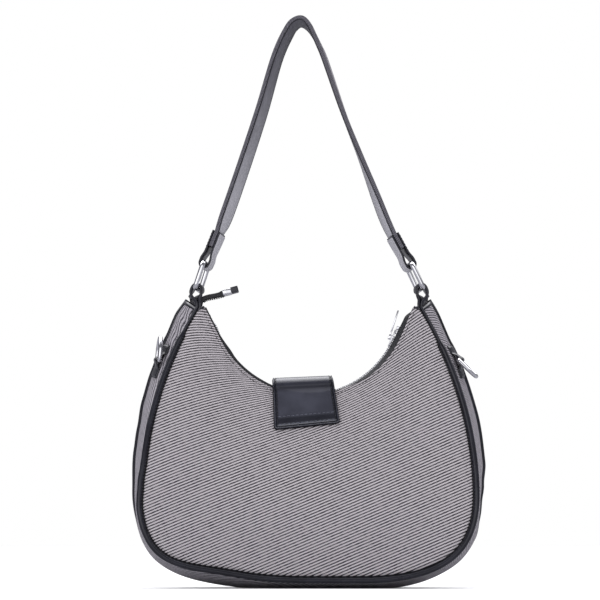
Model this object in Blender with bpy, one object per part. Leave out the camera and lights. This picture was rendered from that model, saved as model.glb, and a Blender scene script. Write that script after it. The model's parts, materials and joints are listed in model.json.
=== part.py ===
"""Crescent-top shoulder bag: twill body with leather piping, zip mouth, closure tab and ring-hung strap.

Metres, +Z up, X across the bag, the back panel on the -Y side.
The origin is the middle of the base, on the surface the bag stands on.
"""

import math

import bmesh
import bpy
from mathutils import Matrix, Vector
from mathutils.bvhtree import BVHTree
from mathutils.geometry import tessellate_polygon

# Clearances between pieces that touch
GAP = 0.0003
PIVOT_PLAY = 0.0004

# Crescent mouth: an arc with a straight leg up from each of its ends
MOUTH_LOW_Z = 0.1520
MOUTH_RADIUS = 0.0780
MOUTH_ARC_HALF = math.radians(63.8)
MOUTH_LEG = 0.0297
MOUTH_HALF_GAP = 0.0105
MOUTH_CENTRE_Z = MOUTH_LOW_Z + MOUTH_RADIUS
MOUTH_END_X = MOUTH_RADIUS * math.sin(MOUTH_ARC_HALF) + MOUTH_LEG * math.cos(MOUTH_ARC_HALF)
MOUTH_END_Z = MOUTH_CENTRE_Z - MOUTH_RADIUS * math.cos(MOUTH_ARC_HALF) + MOUTH_LEG * math.sin(MOUTH_ARC_HALF)

# Body outline, measured to the middle of the piping; its corners stand just outside the ends of the mouth
BACK_HALF_WIDTH = 0.1305
FRONT_HALF_WIDTH = 0.1393
WIDEST_Z = 0.0735
CORNER_MARGIN = 0.0052
CORNER_DROP = 0.0007
FRONT_CORNER_REACH = 0.0042
FRONT_CORNER_RISE = 0.0015
BACK_CORNER_X = MOUTH_END_X + CORNER_MARGIN
FRONT_CORNER_X = BACK_CORNER_X + FRONT_CORNER_REACH
BACK_CORNER_Z = MOUTH_END_Z - CORNER_DROP
FRONT_CORNER_Z = BACK_CORNER_Z + FRONT_CORNER_RISE
BACK_BASE_RISE = 0.0040
BASE_FLAT_HALF = 0.0400
BASE_REACH = 0.0630
BELLY_DROP = 0.0470
BELLY_RISE = 0.0540
SHOULDER_PULL = 0.0500
SHOULDER_LEAN = math.radians(31.0)

# Depth of the bag from seam to seam
BASE_HALF_DEPTH = 0.0350
CORNER_HALF_DEPTH = 0.0115
TAPER_START_Z = 0.0300
PANEL_BELLY = 0.0060
GUSSET_BASE_BULGE = 0.0060
GUSSET_SIDE_BULGE = 0.0040
GUSSET_CORNER_DROP = 0.0045

# Sheet goods
PANEL_THICKNESS = 0.0020
PIPING_RADIUS = 0.0025
LINING_THICKNESS = 0.0006
LINING_SPACE = 0.0015
LINING_DROP = 0.0060
LINING_TURN_SHARE = 0.94
BOARD_THICKNESS = 0.0018
BOARD_HALF_LENGTH = 0.0385
BOARD_HALF_WIDTH = 0.0210
BOARD_CORNER_RADIUS = 0.0060

# Zip: its chain runs on a circle of its own, low on the left and in the middle and high on the right
ZIP_SHIFT_X = -0.0016
ZIP_SHIFT_Z = -0.0025
ZIP_INSET = 0.0013
TAPE_THICKNESS = 0.0008
TAPE_SEAT_DEPTH = 0.0015
TAPE_END_SETBACK = 0.0060
ROW_WIDTH = 0.0024
ROW_HEIGHT = 0.0022
STOP_LENGTH = 0.0030
SLIDER_REST_ANGLE = math.radians(66.0)
SLIDER_LENGTH = 0.0140
SLIDER_WALL = 0.0011
SLIDER_POST = 0.0030
SLIDER_PLAY = 0.0005
EAR_THICKNESS = 0.0012
EAR_HALF_LENGTH = 0.0022
EAR_SPREAD = 0.0013
PIN_RADIUS = 0.0007
PULLER_EYE_WALL = 0.0008
PULLER_LENGTH = 0.0220
PULLER_WIDTH = 0.0076
PULLER_THICKNESS = 0.0014
PULLER_NECK = 0.0040
PULLER_SHOULDER = 0.0035
PULLER_CORNER = 0.0025
PULLER_RIM = 0.0017
PULLER_STEM_HALF = 0.0009
PULLER_LIFT = math.radians(6.0)
TAIL_THICKNESS = 0.0020
TAIL_WIDTH = 0.0110
# Middle line of the zip tail, across and up from the left end of the zip
TAIL_LINE = ((-0.0012, 0.0060), (0.0012, 0.0122), (0.0056, 0.0148), (0.0110, 0.0156), (0.0164, 0.0168))
CAP_LENGTH = 0.0125
CAP_WALL = 0.0012
CAP_POCKET_SHARE = 0.35
CAP_NOSE_LENGTH = 0.0015
CAP_NOSE_DROP = 0.0009

# Strap rings and the leather that holds them
RING_ROD_RADIUS = 0.0020
RING_INNER_WIDTH = 0.0280
RING_BAR_SPACING = 0.0210
RING_CORNER_RADIUS = 0.0032
RING_LEAN = math.radians(17.0)
RING_YAW = math.radians(5.0)
RING_BAR_X = BACK_CORNER_X + GAP
RING_BAR_RISE = 0.0150
LOOP_WALL = 0.0020
LOOP_WIDTH = 0.0156
LOOP_TAIL_HALF = 0.0019
LOOP_TAIL_SHIFT = -0.0008
LOOP_TAIL_LENGTH = 0.0270
LOOP_BEND_START = 0.0185
LOOP_TURN_START = 0.0040
LOOP_TURN_LENGTH = 0.0080
# Sides of the loop's teardrop below the ring: level, and how far past its round top or its tail it stands
LOOP_OUTER_INNER_SIDE = ((0.0040, -0.0001), (0.0085, 0.0010), (0.0120, 0.0))
LOOP_OUTER_OUTER_SIDE = ((0.0130, 0.0), (0.0085, 0.0006), (0.0050, 0.0016))
LOOP_EYE_INNER_SIDE = ((0.0040, -0.0002),)
LOOP_EYE_TIP = ((-0.0010, 0.0080), (0.0012, 0.0095))
LOOP_EYE_OUTER_SIDE = ((0.0080, 0.0004), (0.0045, 0.0010))

# Strap
STRAP_WIDTH = 0.0240
STRAP_THICKNESS = 0.0034
STRAP_END_LENGTH = 0.0270
STRAP_END_WALL = 0.0013
STRAP_POCKET = 0.0130
STRAP_END_WAIST = 0.0045
STRAP_END_WAIST_TUCK = 0.0006
STRAP_END_SHOULDER = 0.0085
STRAP_EYE_SHOULDER = 0.0030
STRAP_EYE_TIP = 0.0062
STRAP_EYE_TIP_HALF = 0.0009
STRAP_STRAIGHT_STEPS = (0.0060, 0.0010, 0.0070)
STRAP_END_LEAN = math.radians(25.0)
STRAP_RISE = 0.1967
# Near edge of the strap between its leather ends: x as a share of the rings' upper bars, height above
# those bars as a share of its rise, and the roll of its width in degrees
STRAP_EDGE = (
    (-0.7034, 0.3782, 17.0),
    (-0.5215, 0.6274, 18.0),
    (-0.3565, 0.8510, 19.0),
    (-0.2304, 0.9629, 21.0),
    (-0.1055, 1.0000, 22.0),
    (0.0121, 0.9629, 16.0),
    (0.1431, 0.8343, 3.0),
    (0.3262, 0.6202, -3.0),
    (0.4899, 0.4428, 2.0),
    (0.6670, 0.2816, 12.0),
)

# Side D-rings and their leather strips
D_RING_Z = 0.1790
D_WIRE_RADIUS = 0.0016
D_INNER_WIDTH = 0.0175
D_INNER_DEPTH = 0.0150
D_CORNER_RADIUS = 0.0018
D_STRIP_WIDTH = 0.0150
D_STRIP_HALF_LENGTH = 0.0130
D_STRIP_THICKNESS = 0.0015
D_STRIP_FOOT = 0.0016
D_STRIP_HUMP_FIT = 1.1
D_STRIP_BLEND = 0.0025
D_STOP_ANGLE = math.radians(5.0)
D_RIGHT_REST = math.radians(151.0)

# Closure tab and its magnetic snap
TAB_WIDTH = 0.0510
TAB_CENTRE_X = -0.0035
TAB_TOP_RISE = 0.0155
TAB_SHOULDER_RISE = 0.0060
TAB_CENTRE_DROP = 0.0070
TAB_BOTTOM_DROP = 0.0265
TAB_CENTRE_Z = MOUTH_LOW_Z - TAB_CENTRE_DROP
TAB_TILT = math.radians(3.5)
TAB_THICKNESS = 0.0026
TAB_BOTTOM_Z = MOUTH_LOW_Z - TAB_BOTTOM_DROP
TAB_SHOULDER_Z = MOUTH_LOW_Z + TAB_SHOULDER_RISE
TAB_TOP_Z = MOUTH_LOW_Z + TAB_TOP_RISE
TAB_HINGE_GAP = 0.0005
TAB_SLACK = 2 * GAP
SNAP_DROP = 0.0150
SNAP_Z = MOUTH_LOW_Z - SNAP_DROP
SNAP_RADIUS = 0.0070
SNAP_STANDOFF = 0.0046
SOCKET_THICKNESS = 0.0018
SOCKET_RECESS_RADIUS = 0.0040
SOCKET_RECESS_DEPTH = 0.0012
STUD_THICKNESS = 0.0009
STUD_POST_RADIUS = 0.0024
STUD_POST_LENGTH = 0.0011
SNAP_WASHER_THICKNESS = 0.0008
SNAP_WASHER_HOLE = 0.0024
SNAP_SEAT = 1.6 * GAP

# Mesh steps
SEAM_STEPS = 40
LINE_STEPS = 160
ARC_STEPS = 48
BEZIER_STEPS = 60
PANEL_ROWS = (0.0, 0.1, 0.28, 0.5, 0.72, 0.9, 1.0)
GUSSET_COLUMNS = (0.0, 0.12, 0.3, 0.5, 0.7, 0.88, 1.0)
ROD_SIDES_RESOLUTION = 2
TAB_LEG_STEPS = 7

# How far pieces of one casting run into each other before they are joined
JOIN_OVERLAP = 0.0003

HALF_SHEET = PANEL_THICKNESS / 2
SEAM_OFFSET = PIPING_RADIUS + GAP
FRONT_BASE_Z = PIPING_RADIUS
BACK_BASE_Z = PIPING_RADIUS + BACK_BASE_RISE


def clear_scene():
    for item in list(bpy.data.objects):
        bpy.data.objects.remove(item, do_unlink=True)


def finish(name, colour, roughness, metallic=0.0):
    material = bpy.data.materials.new(name)
    material.use_nodes = True
    shader = material.node_tree.nodes["Principled BSDF"]
    shader.inputs["Base Color"].default_value = (*colour, 1.0)
    shader.inputs["Roughness"].default_value = roughness
    shader.inputs["Metallic"].default_value = metallic
    return material


def add_mesh(name, points, faces, material, origin=None, smooth=True):
    """A closed body from its points and faces, with its origin where its joint turns."""
    centre = Vector(origin) if origin else Vector((0.0, 0.0, 0.0))
    shape = bmesh.new()
    corners = [shape.verts.new(Vector(point) - centre) for point in points]
    for face in faces:
        shape.faces.new([corners[index] for index in face])
    bmesh.ops.recalc_face_normals(shape, faces=shape.faces)
    mesh = bpy.data.meshes.new(name)
    shape.to_mesh(mesh)
    shape.free()
    if smooth:
        mesh.shade_smooth()
        mesh.set_sharp_from_angle(angle=math.radians(40.0))
    mesh.materials.append(material)
    item = bpy.data.objects.new(name, mesh)
    item.location = centre
    bpy.context.scene.collection.objects.link(item)
    return item


def mix(a, b, t):
    return a + (b - a) * t


def smoothstep(t):
    t = min(max(t, 0.0), 1.0)
    return t * t * (3.0 - 2.0 * t)


def bezier(p0, p1, p2, p3, t):
    s = 1.0 - t
    weights = (s * s * s, 3.0 * s * s * t, 3.0 * s * t * t, t * t * t)
    return tuple(sum(w * p[k] for w, p in zip(weights, (p0, p1, p2, p3))) for k in range(len(p0)))


def resample(points, count):
    """The same polyline cut into equal lengths."""
    lengths = [0.0]
    for a, b in zip(points, points[1:]):
        lengths.append(lengths[-1] + math.dist(a[:3], b[:3]))
    result = []
    segment = 0
    for step in range(count + 1):
        target = lengths[-1] * step / count
        while segment < len(points) - 2 and lengths[segment + 1] < target:
            segment += 1
        span = lengths[segment + 1] - lengths[segment]
        t = (target - lengths[segment]) / span
        result.append(tuple(mix(a, b, t) for a, b in zip(points[segment], points[segment + 1])))
    return result


def smooth_path(points, pieces):
    """A Catmull-Rom curve through the given points."""
    padded = [points[0], *points, points[-1]]
    result = []
    for a, b, c, d in zip(padded, padded[1:], padded[2:], padded[3:]):
        for piece in range(pieces):
            t = piece / pieces
            result.append(tuple(
                0.5 * (2 * q + (r - p) * t + (2 * p - 5 * q + 4 * r - s) * t * t
                       + (3 * q - p - 3 * r + s) * t * t * t)
                for p, q, r, s in zip(a, b, c, d)))
    result.append(tuple(points[-1]))
    return result


def normals_2d(points, sign):
    """Unit normals of a polyline in the XZ plane, turned by sign."""
    result = []
    for index in range(len(points)):
        before = points[max(index - 1, 0)]
        after = points[min(index + 1, len(points) - 1)]
        dx = after[0] - before[0]
        dz = after[1] - before[1]
        size = math.hypot(dx, dz)
        result.append((-sign * dz / size, sign * dx / size))
    return result


def seam_outline(half_width, corner_x, corner_z, base_z):
    """Piping line in the XZ plane, from the left corner round the base to the right corner."""
    flat_end = (BASE_FLAT_HALF, base_z)
    widest = (half_width, WIDEST_Z)
    corner = (corner_x, corner_z)
    base_handle = (BASE_FLAT_HALF + BASE_REACH, base_z)
    belly_handle = (half_width, WIDEST_Z - BELLY_DROP)
    rise_handle = (half_width, WIDEST_Z + BELLY_RISE)
    shoulder_handle = (corner_x + SHOULDER_PULL * math.sin(SHOULDER_LEAN),
                       corner_z - SHOULDER_PULL * math.cos(SHOULDER_LEAN))
    steps = BEZIER_STEPS
    half = [(0.0, base_z)]
    half += [bezier(flat_end, base_handle, belly_handle, widest, k / steps) for k in range(steps)]
    half += [bezier(widest, rise_handle, shoulder_handle, corner, k / steps) for k in range(steps + 1)]
    mirrored = [(-x, z) for x, z in reversed(half[1:])]
    return resample(mirrored + half, SEAM_STEPS)


def lower_arc(centre, radius):
    """The lower part of a circle in the XZ plane, from left to right."""
    result = []
    for k in range(ARC_STEPS + 1):
        angle = mix(-MOUTH_ARC_HALF, MOUTH_ARC_HALF, k / ARC_STEPS)
        result.append((centre[0] + radius * math.sin(angle), centre[1] - radius * math.cos(angle)))
    return result


def mouth_outline(count):
    """Mouth edge in the XZ plane from left to right: two straight legs and an arc between them."""
    arc = lower_arc((0.0, MOUTH_CENTRE_Z), MOUTH_RADIUS)
    return resample([(-MOUTH_END_X, MOUTH_END_Z), *arc, (MOUTH_END_X, MOUTH_END_Z)], count)


def zip_circle():
    """Centre and radius of the circle that the zip's chain and slider follow."""
    return (ZIP_SHIFT_X, MOUTH_CENTRE_Z + ZIP_SHIFT_Z), MOUTH_RADIUS - ZIP_INSET


def chain_outline(count):
    """Middle line of the zip's chain: its arc, and legs beside those of the mouth up to the same height."""
    arc = lower_arc(*zip_circle())
    mouth_x, mouth_z = lower_arc((0.0, MOUTH_CENTRE_Z), MOUTH_RADIUS)[-1]
    leg = (MOUTH_END_X - mouth_x) * (MOUTH_END_Z - arc[-1][1]) / (MOUTH_END_Z - mouth_z)
    return resample([(arc[0][0] - leg, MOUTH_END_Z), *arc, (arc[-1][0] + leg, MOUTH_END_Z)], count)


SEAM = {
    -1: seam_outline(BACK_HALF_WIDTH, BACK_CORNER_X, BACK_CORNER_Z, BACK_BASE_Z),
    1: seam_outline(FRONT_HALF_WIDTH, FRONT_CORNER_X, FRONT_CORNER_Z, FRONT_BASE_Z),
}
INWARD = {side: normals_2d(SEAM[side], 1.0) for side in SEAM}
MOUTH = mouth_outline(SEAM_STEPS)


def half_depth(z):
    """Distance of the piping from the middle plane at a height."""
    t = (z - TAPER_START_Z) / (BACK_CORNER_Z - TAPER_START_Z)
    return mix(BASE_HALF_DEPTH, CORNER_HALF_DEPTH, smoothstep(t))


def seam_point(side, index):
    x, z = SEAM[side][index]
    return Vector((x, side * half_depth(z), z))


def inward(side, index):
    nx, nz = INWARD[side][index]
    return Vector((nx, 0.0, nz))


def panel_point(side, index, v, offset):
    """A point of a panel: v runs from the mouth to the piping, offset goes outward."""
    edge = seam_point(side, index) + inward(side, index) * SEAM_OFFSET
    mouth_x, mouth_z = MOUTH[index]
    along = math.sin(math.pi * index / SEAM_STEPS)
    depth = mix(MOUTH_HALF_GAP, abs(edge.y), math.sin(math.pi * v / 2))
    depth += PANEL_BELLY * math.sin(math.pi * v) * math.sqrt(max(along, 0.0))
    return Vector((mix(mouth_x, edge.x, v), side * (depth + offset), mix(mouth_z, edge.z, v)))


def gusset_point(index, w, offset):
    """A point of the gusset: w runs from the back piping to the front one, offset goes outward."""
    back = seam_point(-1, index)
    front = seam_point(1, index)
    out = -(inward(-1, index) + inward(1, index)).normalized()
    y = mix(back.y + SEAM_OFFSET, front.y - SEAM_OFFSET, w)
    share = smoothstep(back.z / WIDEST_Z)
    bulge = mix(GUSSET_BASE_BULGE, GUSSET_SIDE_BULGE, share) * max(math.sin(math.pi * w), 0.0) ** 0.35
    point = Vector((mix(back.x, front.x, w), y, mix(back.z, front.z, w))) + out * bulge
    point.z = max(point.z, HALF_SHEET)
    return point + out * offset


def sheet(name, outer, inner, material, origin=None):
    """A closed skin between two grids of points of the same size."""
    rows = len(outer)
    columns = len(outer[0])
    points = [point for row in outer for point in row] + [point for row in inner for point in row]
    shift = rows * columns

    def at(i, j):
        return i * columns + j

    faces = []
    for i in range(rows - 1):
        for j in range(columns - 1):
            faces.append((at(i, j), at(i + 1, j), at(i + 1, j + 1), at(i, j + 1)))
            under = (at(i, j), at(i, j + 1), at(i + 1, j + 1), at(i + 1, j))
            faces.append(tuple(shift + index for index in under))
    rim = [at(i, 0) for i in range(rows)] + [at(rows - 1, j) for j in range(1, columns)]
    rim += [at(i, columns - 1) for i in range(rows - 2, -1, -1)] + [at(0, j) for j in range(columns - 2, 0, -1)]
    for a, b in zip(rim, rim[1:] + rim[:1]):
        faces.append((a, b, shift + b, shift + a))
    return add_mesh(name, points, faces, material, origin)


def loft(name, rings, material, origin=None):
    """A closed body through rings of points, capped at both ends."""
    size = len(rings[0])
    points = [point for ring in rings for point in ring]
    faces = [tuple(range(size)), tuple(range(len(points) - size, len(points)))]
    for row in range(len(rings) - 1):
        for k in range(size):
            a = row * size + k
            b = row * size + (k + 1) % size
            faces.append((a, b, b + size, a + size))
    return add_mesh(name, points, faces, material, origin)


def prism(name, outlines, depth, place, material, origin=None):
    """A flat outline, with holes, given a depth along its third direction."""
    flat = [Vector((a, b, 0.0)) for outline in outlines for a, b in outline]
    triangles = tessellate_polygon([[Vector((a, b, 0.0)) for a, b in outline] for outline in outlines])
    shift = len(flat)
    points = [place(p.x, p.y, depth[0]) for p in flat] + [place(p.x, p.y, depth[1]) for p in flat]
    faces = [tuple(triangle) for triangle in triangles]
    faces += [tuple(shift + index for index in triangle) for triangle in triangles]
    start = 0
    for outline in outlines:
        count = len(outline)
        for k in range(count):
            a = start + k
            b = start + (k + 1) % count
            faces.append((a, b, shift + b, shift + a))
        start += count
    return add_mesh(name, points, faces, material, origin)


def disc(radius, sides=20):
    turns = [math.tau * k / sides for k in range(sides)]
    return [(radius * math.cos(turn), radius * math.sin(turn)) for turn in turns]


def arc_points(centre, radius, start, end, steps):
    """Points of an arc from one angle to another, both in degrees."""
    result = []
    for k in range(steps + 1):
        angle = math.radians(mix(start, end, k / steps))
        result.append((centre[0] + radius * math.cos(angle), centre[1] + radius * math.sin(angle)))
    return result


def rod(name, points, radius, closed, material, origin=None):
    """A round rod or piping along points, as a bevelled curve."""
    centre = Vector(origin) if origin else Vector((0.0, 0.0, 0.0))
    curve = bpy.data.curves.new(name, "CURVE")
    curve.dimensions = "3D"
    curve.bevel_depth = radius
    curve.bevel_resolution = ROD_SIDES_RESOLUTION
    curve.render_resolution_u = 0
    curve.use_fill_caps = not closed
    spline = curve.splines.new("POLY")
    spline.points.add(len(points) - 1)
    for target, point in zip(spline.points, points):
        target.co = (*(Vector(point) - centre), 1.0)
    spline.use_cyclic_u = closed
    spline.use_smooth = True
    curve.materials.append(material)
    item = bpy.data.objects.new(name, curve)
    item.location = centre
    bpy.context.scene.collection.objects.link(item)
    return item


def join_solids(base, others):
    """Union of overlapping pieces of one casting into the first of them."""
    for other in others:
        union = base.modifiers.new(other.name, "BOOLEAN")
        union.operation = "UNION"
        union.solver = "EXACT"
        union.object = other
        other.hide_render = True
        other.display_type = "WIRE"
    return base


def box_faces(name, low, high, place, material, origin=None):
    """A box between two corners of a local frame."""
    outline = [(low[0], low[1]), (high[0], low[1]), (high[0], high[1]), (low[0], high[1])]
    return prism(name, [outline], (low[2], high[2]), place, material, origin)


def ray_tree(item):
    bpy.context.view_layer.update()
    shape = bmesh.new()
    shape.from_mesh(item.data)
    shape.transform(item.matrix_world)
    tree = BVHTree.FromBMesh(shape)
    shape.free()
    return tree


# The sewn body

def build_panels(twill):
    panels = {}
    for side, name in ((-1, "back_panel"), (1, "front_panel")):
        outer = [[panel_point(side, i, v, HALF_SHEET) for v in PANEL_ROWS] for i in range(SEAM_STEPS + 1)]
        inner = [[panel_point(side, i, v, -HALF_SHEET) for v in PANEL_ROWS] for i in range(SEAM_STEPS + 1)]
        panels[side] = sheet(name, outer, inner, twill)
    return panels


def gusset_row(step, columns, offset):
    """A row across the gusset, which stops short of the corners, where the leather loops go in."""
    cut = GUSSET_CORNER_DROP / math.dist(SEAM[-1][0], SEAM[-1][1])
    if step == 0:
        pairs = ((0, 1.0 - cut), (1, cut))
    elif step == SEAM_STEPS:
        pairs = ((SEAM_STEPS, 1.0 - cut), (SEAM_STEPS - 1, cut))
    else:
        pairs = ((step, 1.0),)
    return [sum((gusset_point(i, w, offset) * share for i, share in pairs), Vector()) for w in columns]


def build_gusset(twill):
    outer = [gusset_row(i, GUSSET_COLUMNS, HALF_SHEET) for i in range(SEAM_STEPS + 1)]
    inner = [gusset_row(i, GUSSET_COLUMNS, -HALF_SHEET) for i in range(SEAM_STEPS + 1)]
    return sheet("gusset", outer, inner, twill)


def build_piping(leather):
    for side, name in ((-1, "back_piping"), (1, "front_piping")):
        rod(name, [seam_point(side, i) for i in range(SEAM_STEPS + 1)], PIPING_RADIUS, False, leather)


def lining_row(index, room, extra):
    """One U-shaped line of the lining, from the back mouth edge down, across and up the front."""
    inset = HALF_SHEET + LINING_SPACE + extra
    corner = SEAM_OFFSET + LINING_THICKNESS + extra
    rows = {}
    for side in (-1, 1):
        mouth_x, mouth_z = MOUTH[index]
        edge = seam_point(side, index) + inward(side, index) * SEAM_OFFSET
        start = min(LINING_DROP / math.dist((mouth_x, mouth_z), (edge.x, edge.z)), LINING_TURN_SHARE / 2)
        stations = [mix(start, LINING_TURN_SHARE, k / 4) for k in range(5)]
        rows[side] = [panel_point(side, index, v, -inset) for v in stations]
        turn = seam_point(side, index) + inward(side, index) * corner
        turn.y -= side * corner
        rows[side].append(turn)
    across = [gusset_point(index, w, -room - extra) for w in (0.25, 0.5, 0.75)]
    return rows[-1] + across + list(reversed(rows[1]))


def board_outline():
    corner = BOARD_CORNER_RADIUS
    outline = []
    for sx, sy, start in ((1, 1, 0), (-1, 1, 90), (-1, -1, 180), (1, -1, 270)):
        centre = (sx * (BOARD_HALF_LENGTH - corner), sy * (BOARD_HALF_WIDTH - corner))
        outline += arc_points(centre, corner, start, start + 90, 3)
    return outline


def board_low(gusset):
    """Underside of the base board, which rests on the gusset along its edge."""
    tree = ray_tree(gusset)
    down = Vector((0.0, 0.0, -1.0))
    return max(tree.ray_cast(Vector((a, b, WIDEST_Z)), down)[0].z for a, b in board_outline()) + GAP


def build_base_board(board, low):
    high = low + BOARD_THICKNESS
    prism("base_board", [board_outline()], (low, high), lambda a, b, c: Vector((a, b, c)), board)


def build_lining(cloth, low):
    room = low + BOARD_THICKNESS + GAP - HALF_SHEET
    steps = range(1, SEAM_STEPS)
    outer = [lining_row(i, room, 0.0) for i in steps]
    inner = [lining_row(i, room, LINING_THICKNESS) for i in steps]
    sheet("lining", outer, inner, cloth)


# The zip

def line_station(line, share, rise):
    """A point at a share of a line's length, raised from it into the mouth."""
    points, normals = line
    place = share * LINE_STEPS
    index = min(int(place), LINE_STEPS - 1)
    t = place - index
    x = mix(points[index][0] + normals[index][0] * rise, points[index + 1][0] + normals[index + 1][0] * rise, t)
    z = mix(points[index][1] + normals[index][1] * rise, points[index + 1][1] + normals[index + 1][1] * rise, t)
    return x, z


def mouth_line():
    points = mouth_outline(LINE_STEPS)
    return points, normals_2d(points, 1.0)


def chain_line():
    points = chain_outline(LINE_STEPS)
    return points, normals_2d(points, 1.0)


def chain_length():
    points = chain_outline(LINE_STEPS)
    return sum(math.dist(a, b) for a, b in zip(points, points[1:]))


def chain_distance(angle):
    """Distance from the zip's left end to an angle on its circle."""
    _, radius = zip_circle()
    return chain_length() / 2 + radius * angle


def strip_along_zip(name, start, end, steps, section, material):
    """A strip along the zip whose section is a list of (y, line, rise) points."""
    length = chain_length()
    rings = []
    for k in range(steps + 1):
        share = mix(start, end, k / steps) / length
        ring = []
        for y, line, rise in section:
            x, z = line_station(line, share, rise)
            ring.append(Vector((x, y, z)))
        rings.append(ring)
    return loft(name, rings, material)


def build_zip(tape, metal):
    chain = chain_line()
    mouth = mouth_line()
    _, radius = zip_circle()
    start = TAPE_END_SETBACK
    end = chain_length() - TAPE_END_SETBACK
    post_edge = SLIDER_REST_ANGLE + (SLIDER_LENGTH / 2 - SLIDER_POST - 2 * GAP) / radius
    teeth_end = chain_distance(post_edge)
    teeth_start = start + STOP_LENGTH + GAP
    panel_face = MOUTH_HALF_GAP - HALF_SHEET - GAP
    row_inner = GAP / 2
    row_outer = row_inner + ROW_WIDTH
    half_tape = TAPE_THICKNESS / 2
    half_row = ROW_HEIGHT / 2
    near = row_outer + GAP
    flat = row_outer + SLIDER_PLAY + SLIDER_WALL + GAP
    stop_start = chain_distance(SLIDER_REST_ANGLE) + SLIDER_LENGTH / 2 + 2 * GAP
    for side, word in ((-1, "back"), (1, "front")):
        tape_section = [
            (side * near, chain, -half_tape), (side * near, chain, half_tape),
            (side * flat, chain, half_tape), (side * panel_face, mouth, half_tape - TAPE_SEAT_DEPTH),
            (side * panel_face, mouth, -half_tape - TAPE_SEAT_DEPTH), (side * flat, chain, -half_tape)]
        strip_along_zip("zip_tape_" + word, start, end, 28, tape_section, tape)
        row = [(side * row_inner, chain, -half_row), (side * row_inner, chain, half_row),
               (side * row_outer, chain, half_row), (side * row_outer, chain, -half_row)]
        strip_along_zip("zip_teeth_" + word, teeth_start, teeth_end, 26, row, metal)
        strip_along_zip("zip_top_stop_" + word, stop_start, stop_start + STOP_LENGTH, 1, row, metal)
    both = [(-row_outer, chain, -half_row), (-row_outer, chain, half_row),
            (row_outer, chain, half_row), (row_outer, chain, -half_row)]
    strip_along_zip("zip_bottom_stop", start, start + STOP_LENGTH, 1, both, metal)


def slider_frame():
    """Local frame of the slider: a along the mouth to the right, b out of the mouth, c along Y."""
    angle = SLIDER_REST_ANGLE
    (x, z), radius = zip_circle()
    centre = Vector((x + radius * math.sin(angle), 0.0, z - radius * math.cos(angle)))
    along = Vector((math.cos(angle), 0.0, math.sin(angle)))
    up = Vector((-math.sin(angle), 0.0, math.cos(angle)))
    return centre, along, up


def build_slider(metal):
    centre, along, up = slider_frame()
    (turn_x, turn_z), _ = zip_circle()
    pivot = Vector((turn_x, 0.0, turn_z))
    half_height = ROW_HEIGHT / 2 + SLIDER_PLAY
    half_inside = GAP / 2 + ROW_WIDTH + SLIDER_PLAY
    slot = TAPE_THICKNESS / 2 + SLIDER_PLAY
    half = SLIDER_LENGTH / 2

    def across(c, b, a):
        return centre + along * a + up * b + Vector((0.0, c, 0.0))

    def channel(sign):
        outer = half_inside + SLIDER_WALL
        top = half_height + SLIDER_WALL
        return [(-outer, sign * slot), (-outer, sign * top), (outer, sign * top), (outer, sign * slot),
                (half_inside, sign * slot), (half_inside, sign * half_height),
                (-half_inside, sign * half_height), (-half_inside, sign * slot)]

    body = prism("zip_slider", [channel(1)], (-half, half), across, metal, pivot)
    floor = prism("slider_floor", [channel(-1)], (-half, half), across, metal)
    reach = half_height + SLIDER_WALL / 2
    post = box_faces("slider_post", (-SLIDER_POST / 2, -reach, half - SLIDER_POST),
                     (SLIDER_POST / 2, reach, half), across, metal)
    base = half_height + SLIDER_WALL / 2
    eye_rim = PIN_RADIUS + PIVOT_PLAY + PULLER_EYE_WALL
    pin_height = half_height + SLIDER_WALL + eye_rim + GAP
    top = pin_height + 2 * PIN_RADIUS
    parts = [floor, post]
    for sign, word in ((-1, "slider_ear_back"), (1, "slider_ear_front")):
        low = min(sign * EAR_SPREAD, sign * (EAR_SPREAD + EAR_THICKNESS))
        parts.append(box_faces(word, (low, base, -EAR_HALF_LENGTH), (low + EAR_THICKNESS, top, EAR_HALF_LENGTH),
                               across, metal))
    pin = [(pin_height + b, a) for a, b in disc(PIN_RADIUS, 8)]
    half_pin = EAR_SPREAD + EAR_THICKNESS / 2
    parts.append(prism("slider_pin", [pin], (-half_pin, half_pin), lambda b, a, c: across(c, b, a), metal))
    join_solids(body, parts)
    return across(0.0, pin_height, 0.0)


def build_puller(metal, pivot):
    _, along, up = slider_frame()
    lean = Matrix.Rotation(-PULLER_LIFT, 3, "Y")
    forward = lean @ along
    lift = lean @ up
    eye = PIN_RADIUS + PIVOT_PLAY
    rim = eye + PULLER_EYE_WALL

    def place(a, b, c):
        return pivot + forward * a + lift * b + Vector((0.0, c, 0.0))

    half = PULLER_THICKNESS / 2
    hook = [(PULLER_NECK, half), (PULLER_NECK, -half)]
    hook += arc_points((0.0, 0.0), rim, -40, -320, 9)
    eye_half = EAR_SPREAD - GAP
    body = prism("zip_puller", [hook, disc(eye, 8)], (-eye_half, eye_half), place, metal, pivot)

    def flat(a, c, b):
        return place(a, b, c)

    start = PULLER_NECK - 2 * JOIN_OVERLAP
    shoulder = PULLER_NECK + PULLER_SHOULDER
    end = PULLER_LENGTH
    wide = PULLER_WIDTH / 2
    stem = PULLER_STEM_HALF
    turn = PULLER_CORNER
    plate = [(start, -stem), (shoulder, -wide), (end - turn, -wide), (end, turn - wide),
             (end, wide - turn), (end - turn, wide), (shoulder, wide), (start, stem)]
    rim = PULLER_RIM
    window = [(shoulder + rim / 2, rim - wide), (end - 2 * rim, rim - wide),
              (end - 2 * rim, wide - rim), (shoulder + rim / 2, wide - rim)]
    blade = prism("puller_blade", [plate, window], (-half, half), flat, metal)
    join_solids(body, [blade])


def tail_path():
    """Middle line of the zip tail: up from the left end of the zip, then curling in over the mouth."""
    x, z = line_station(chain_line(), (TAPE_END_SETBACK - GAP) / chain_length(), 0.0)
    return [(x, z)] + [(x + across, z + up) for across, up in TAIL_LINE]


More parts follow.
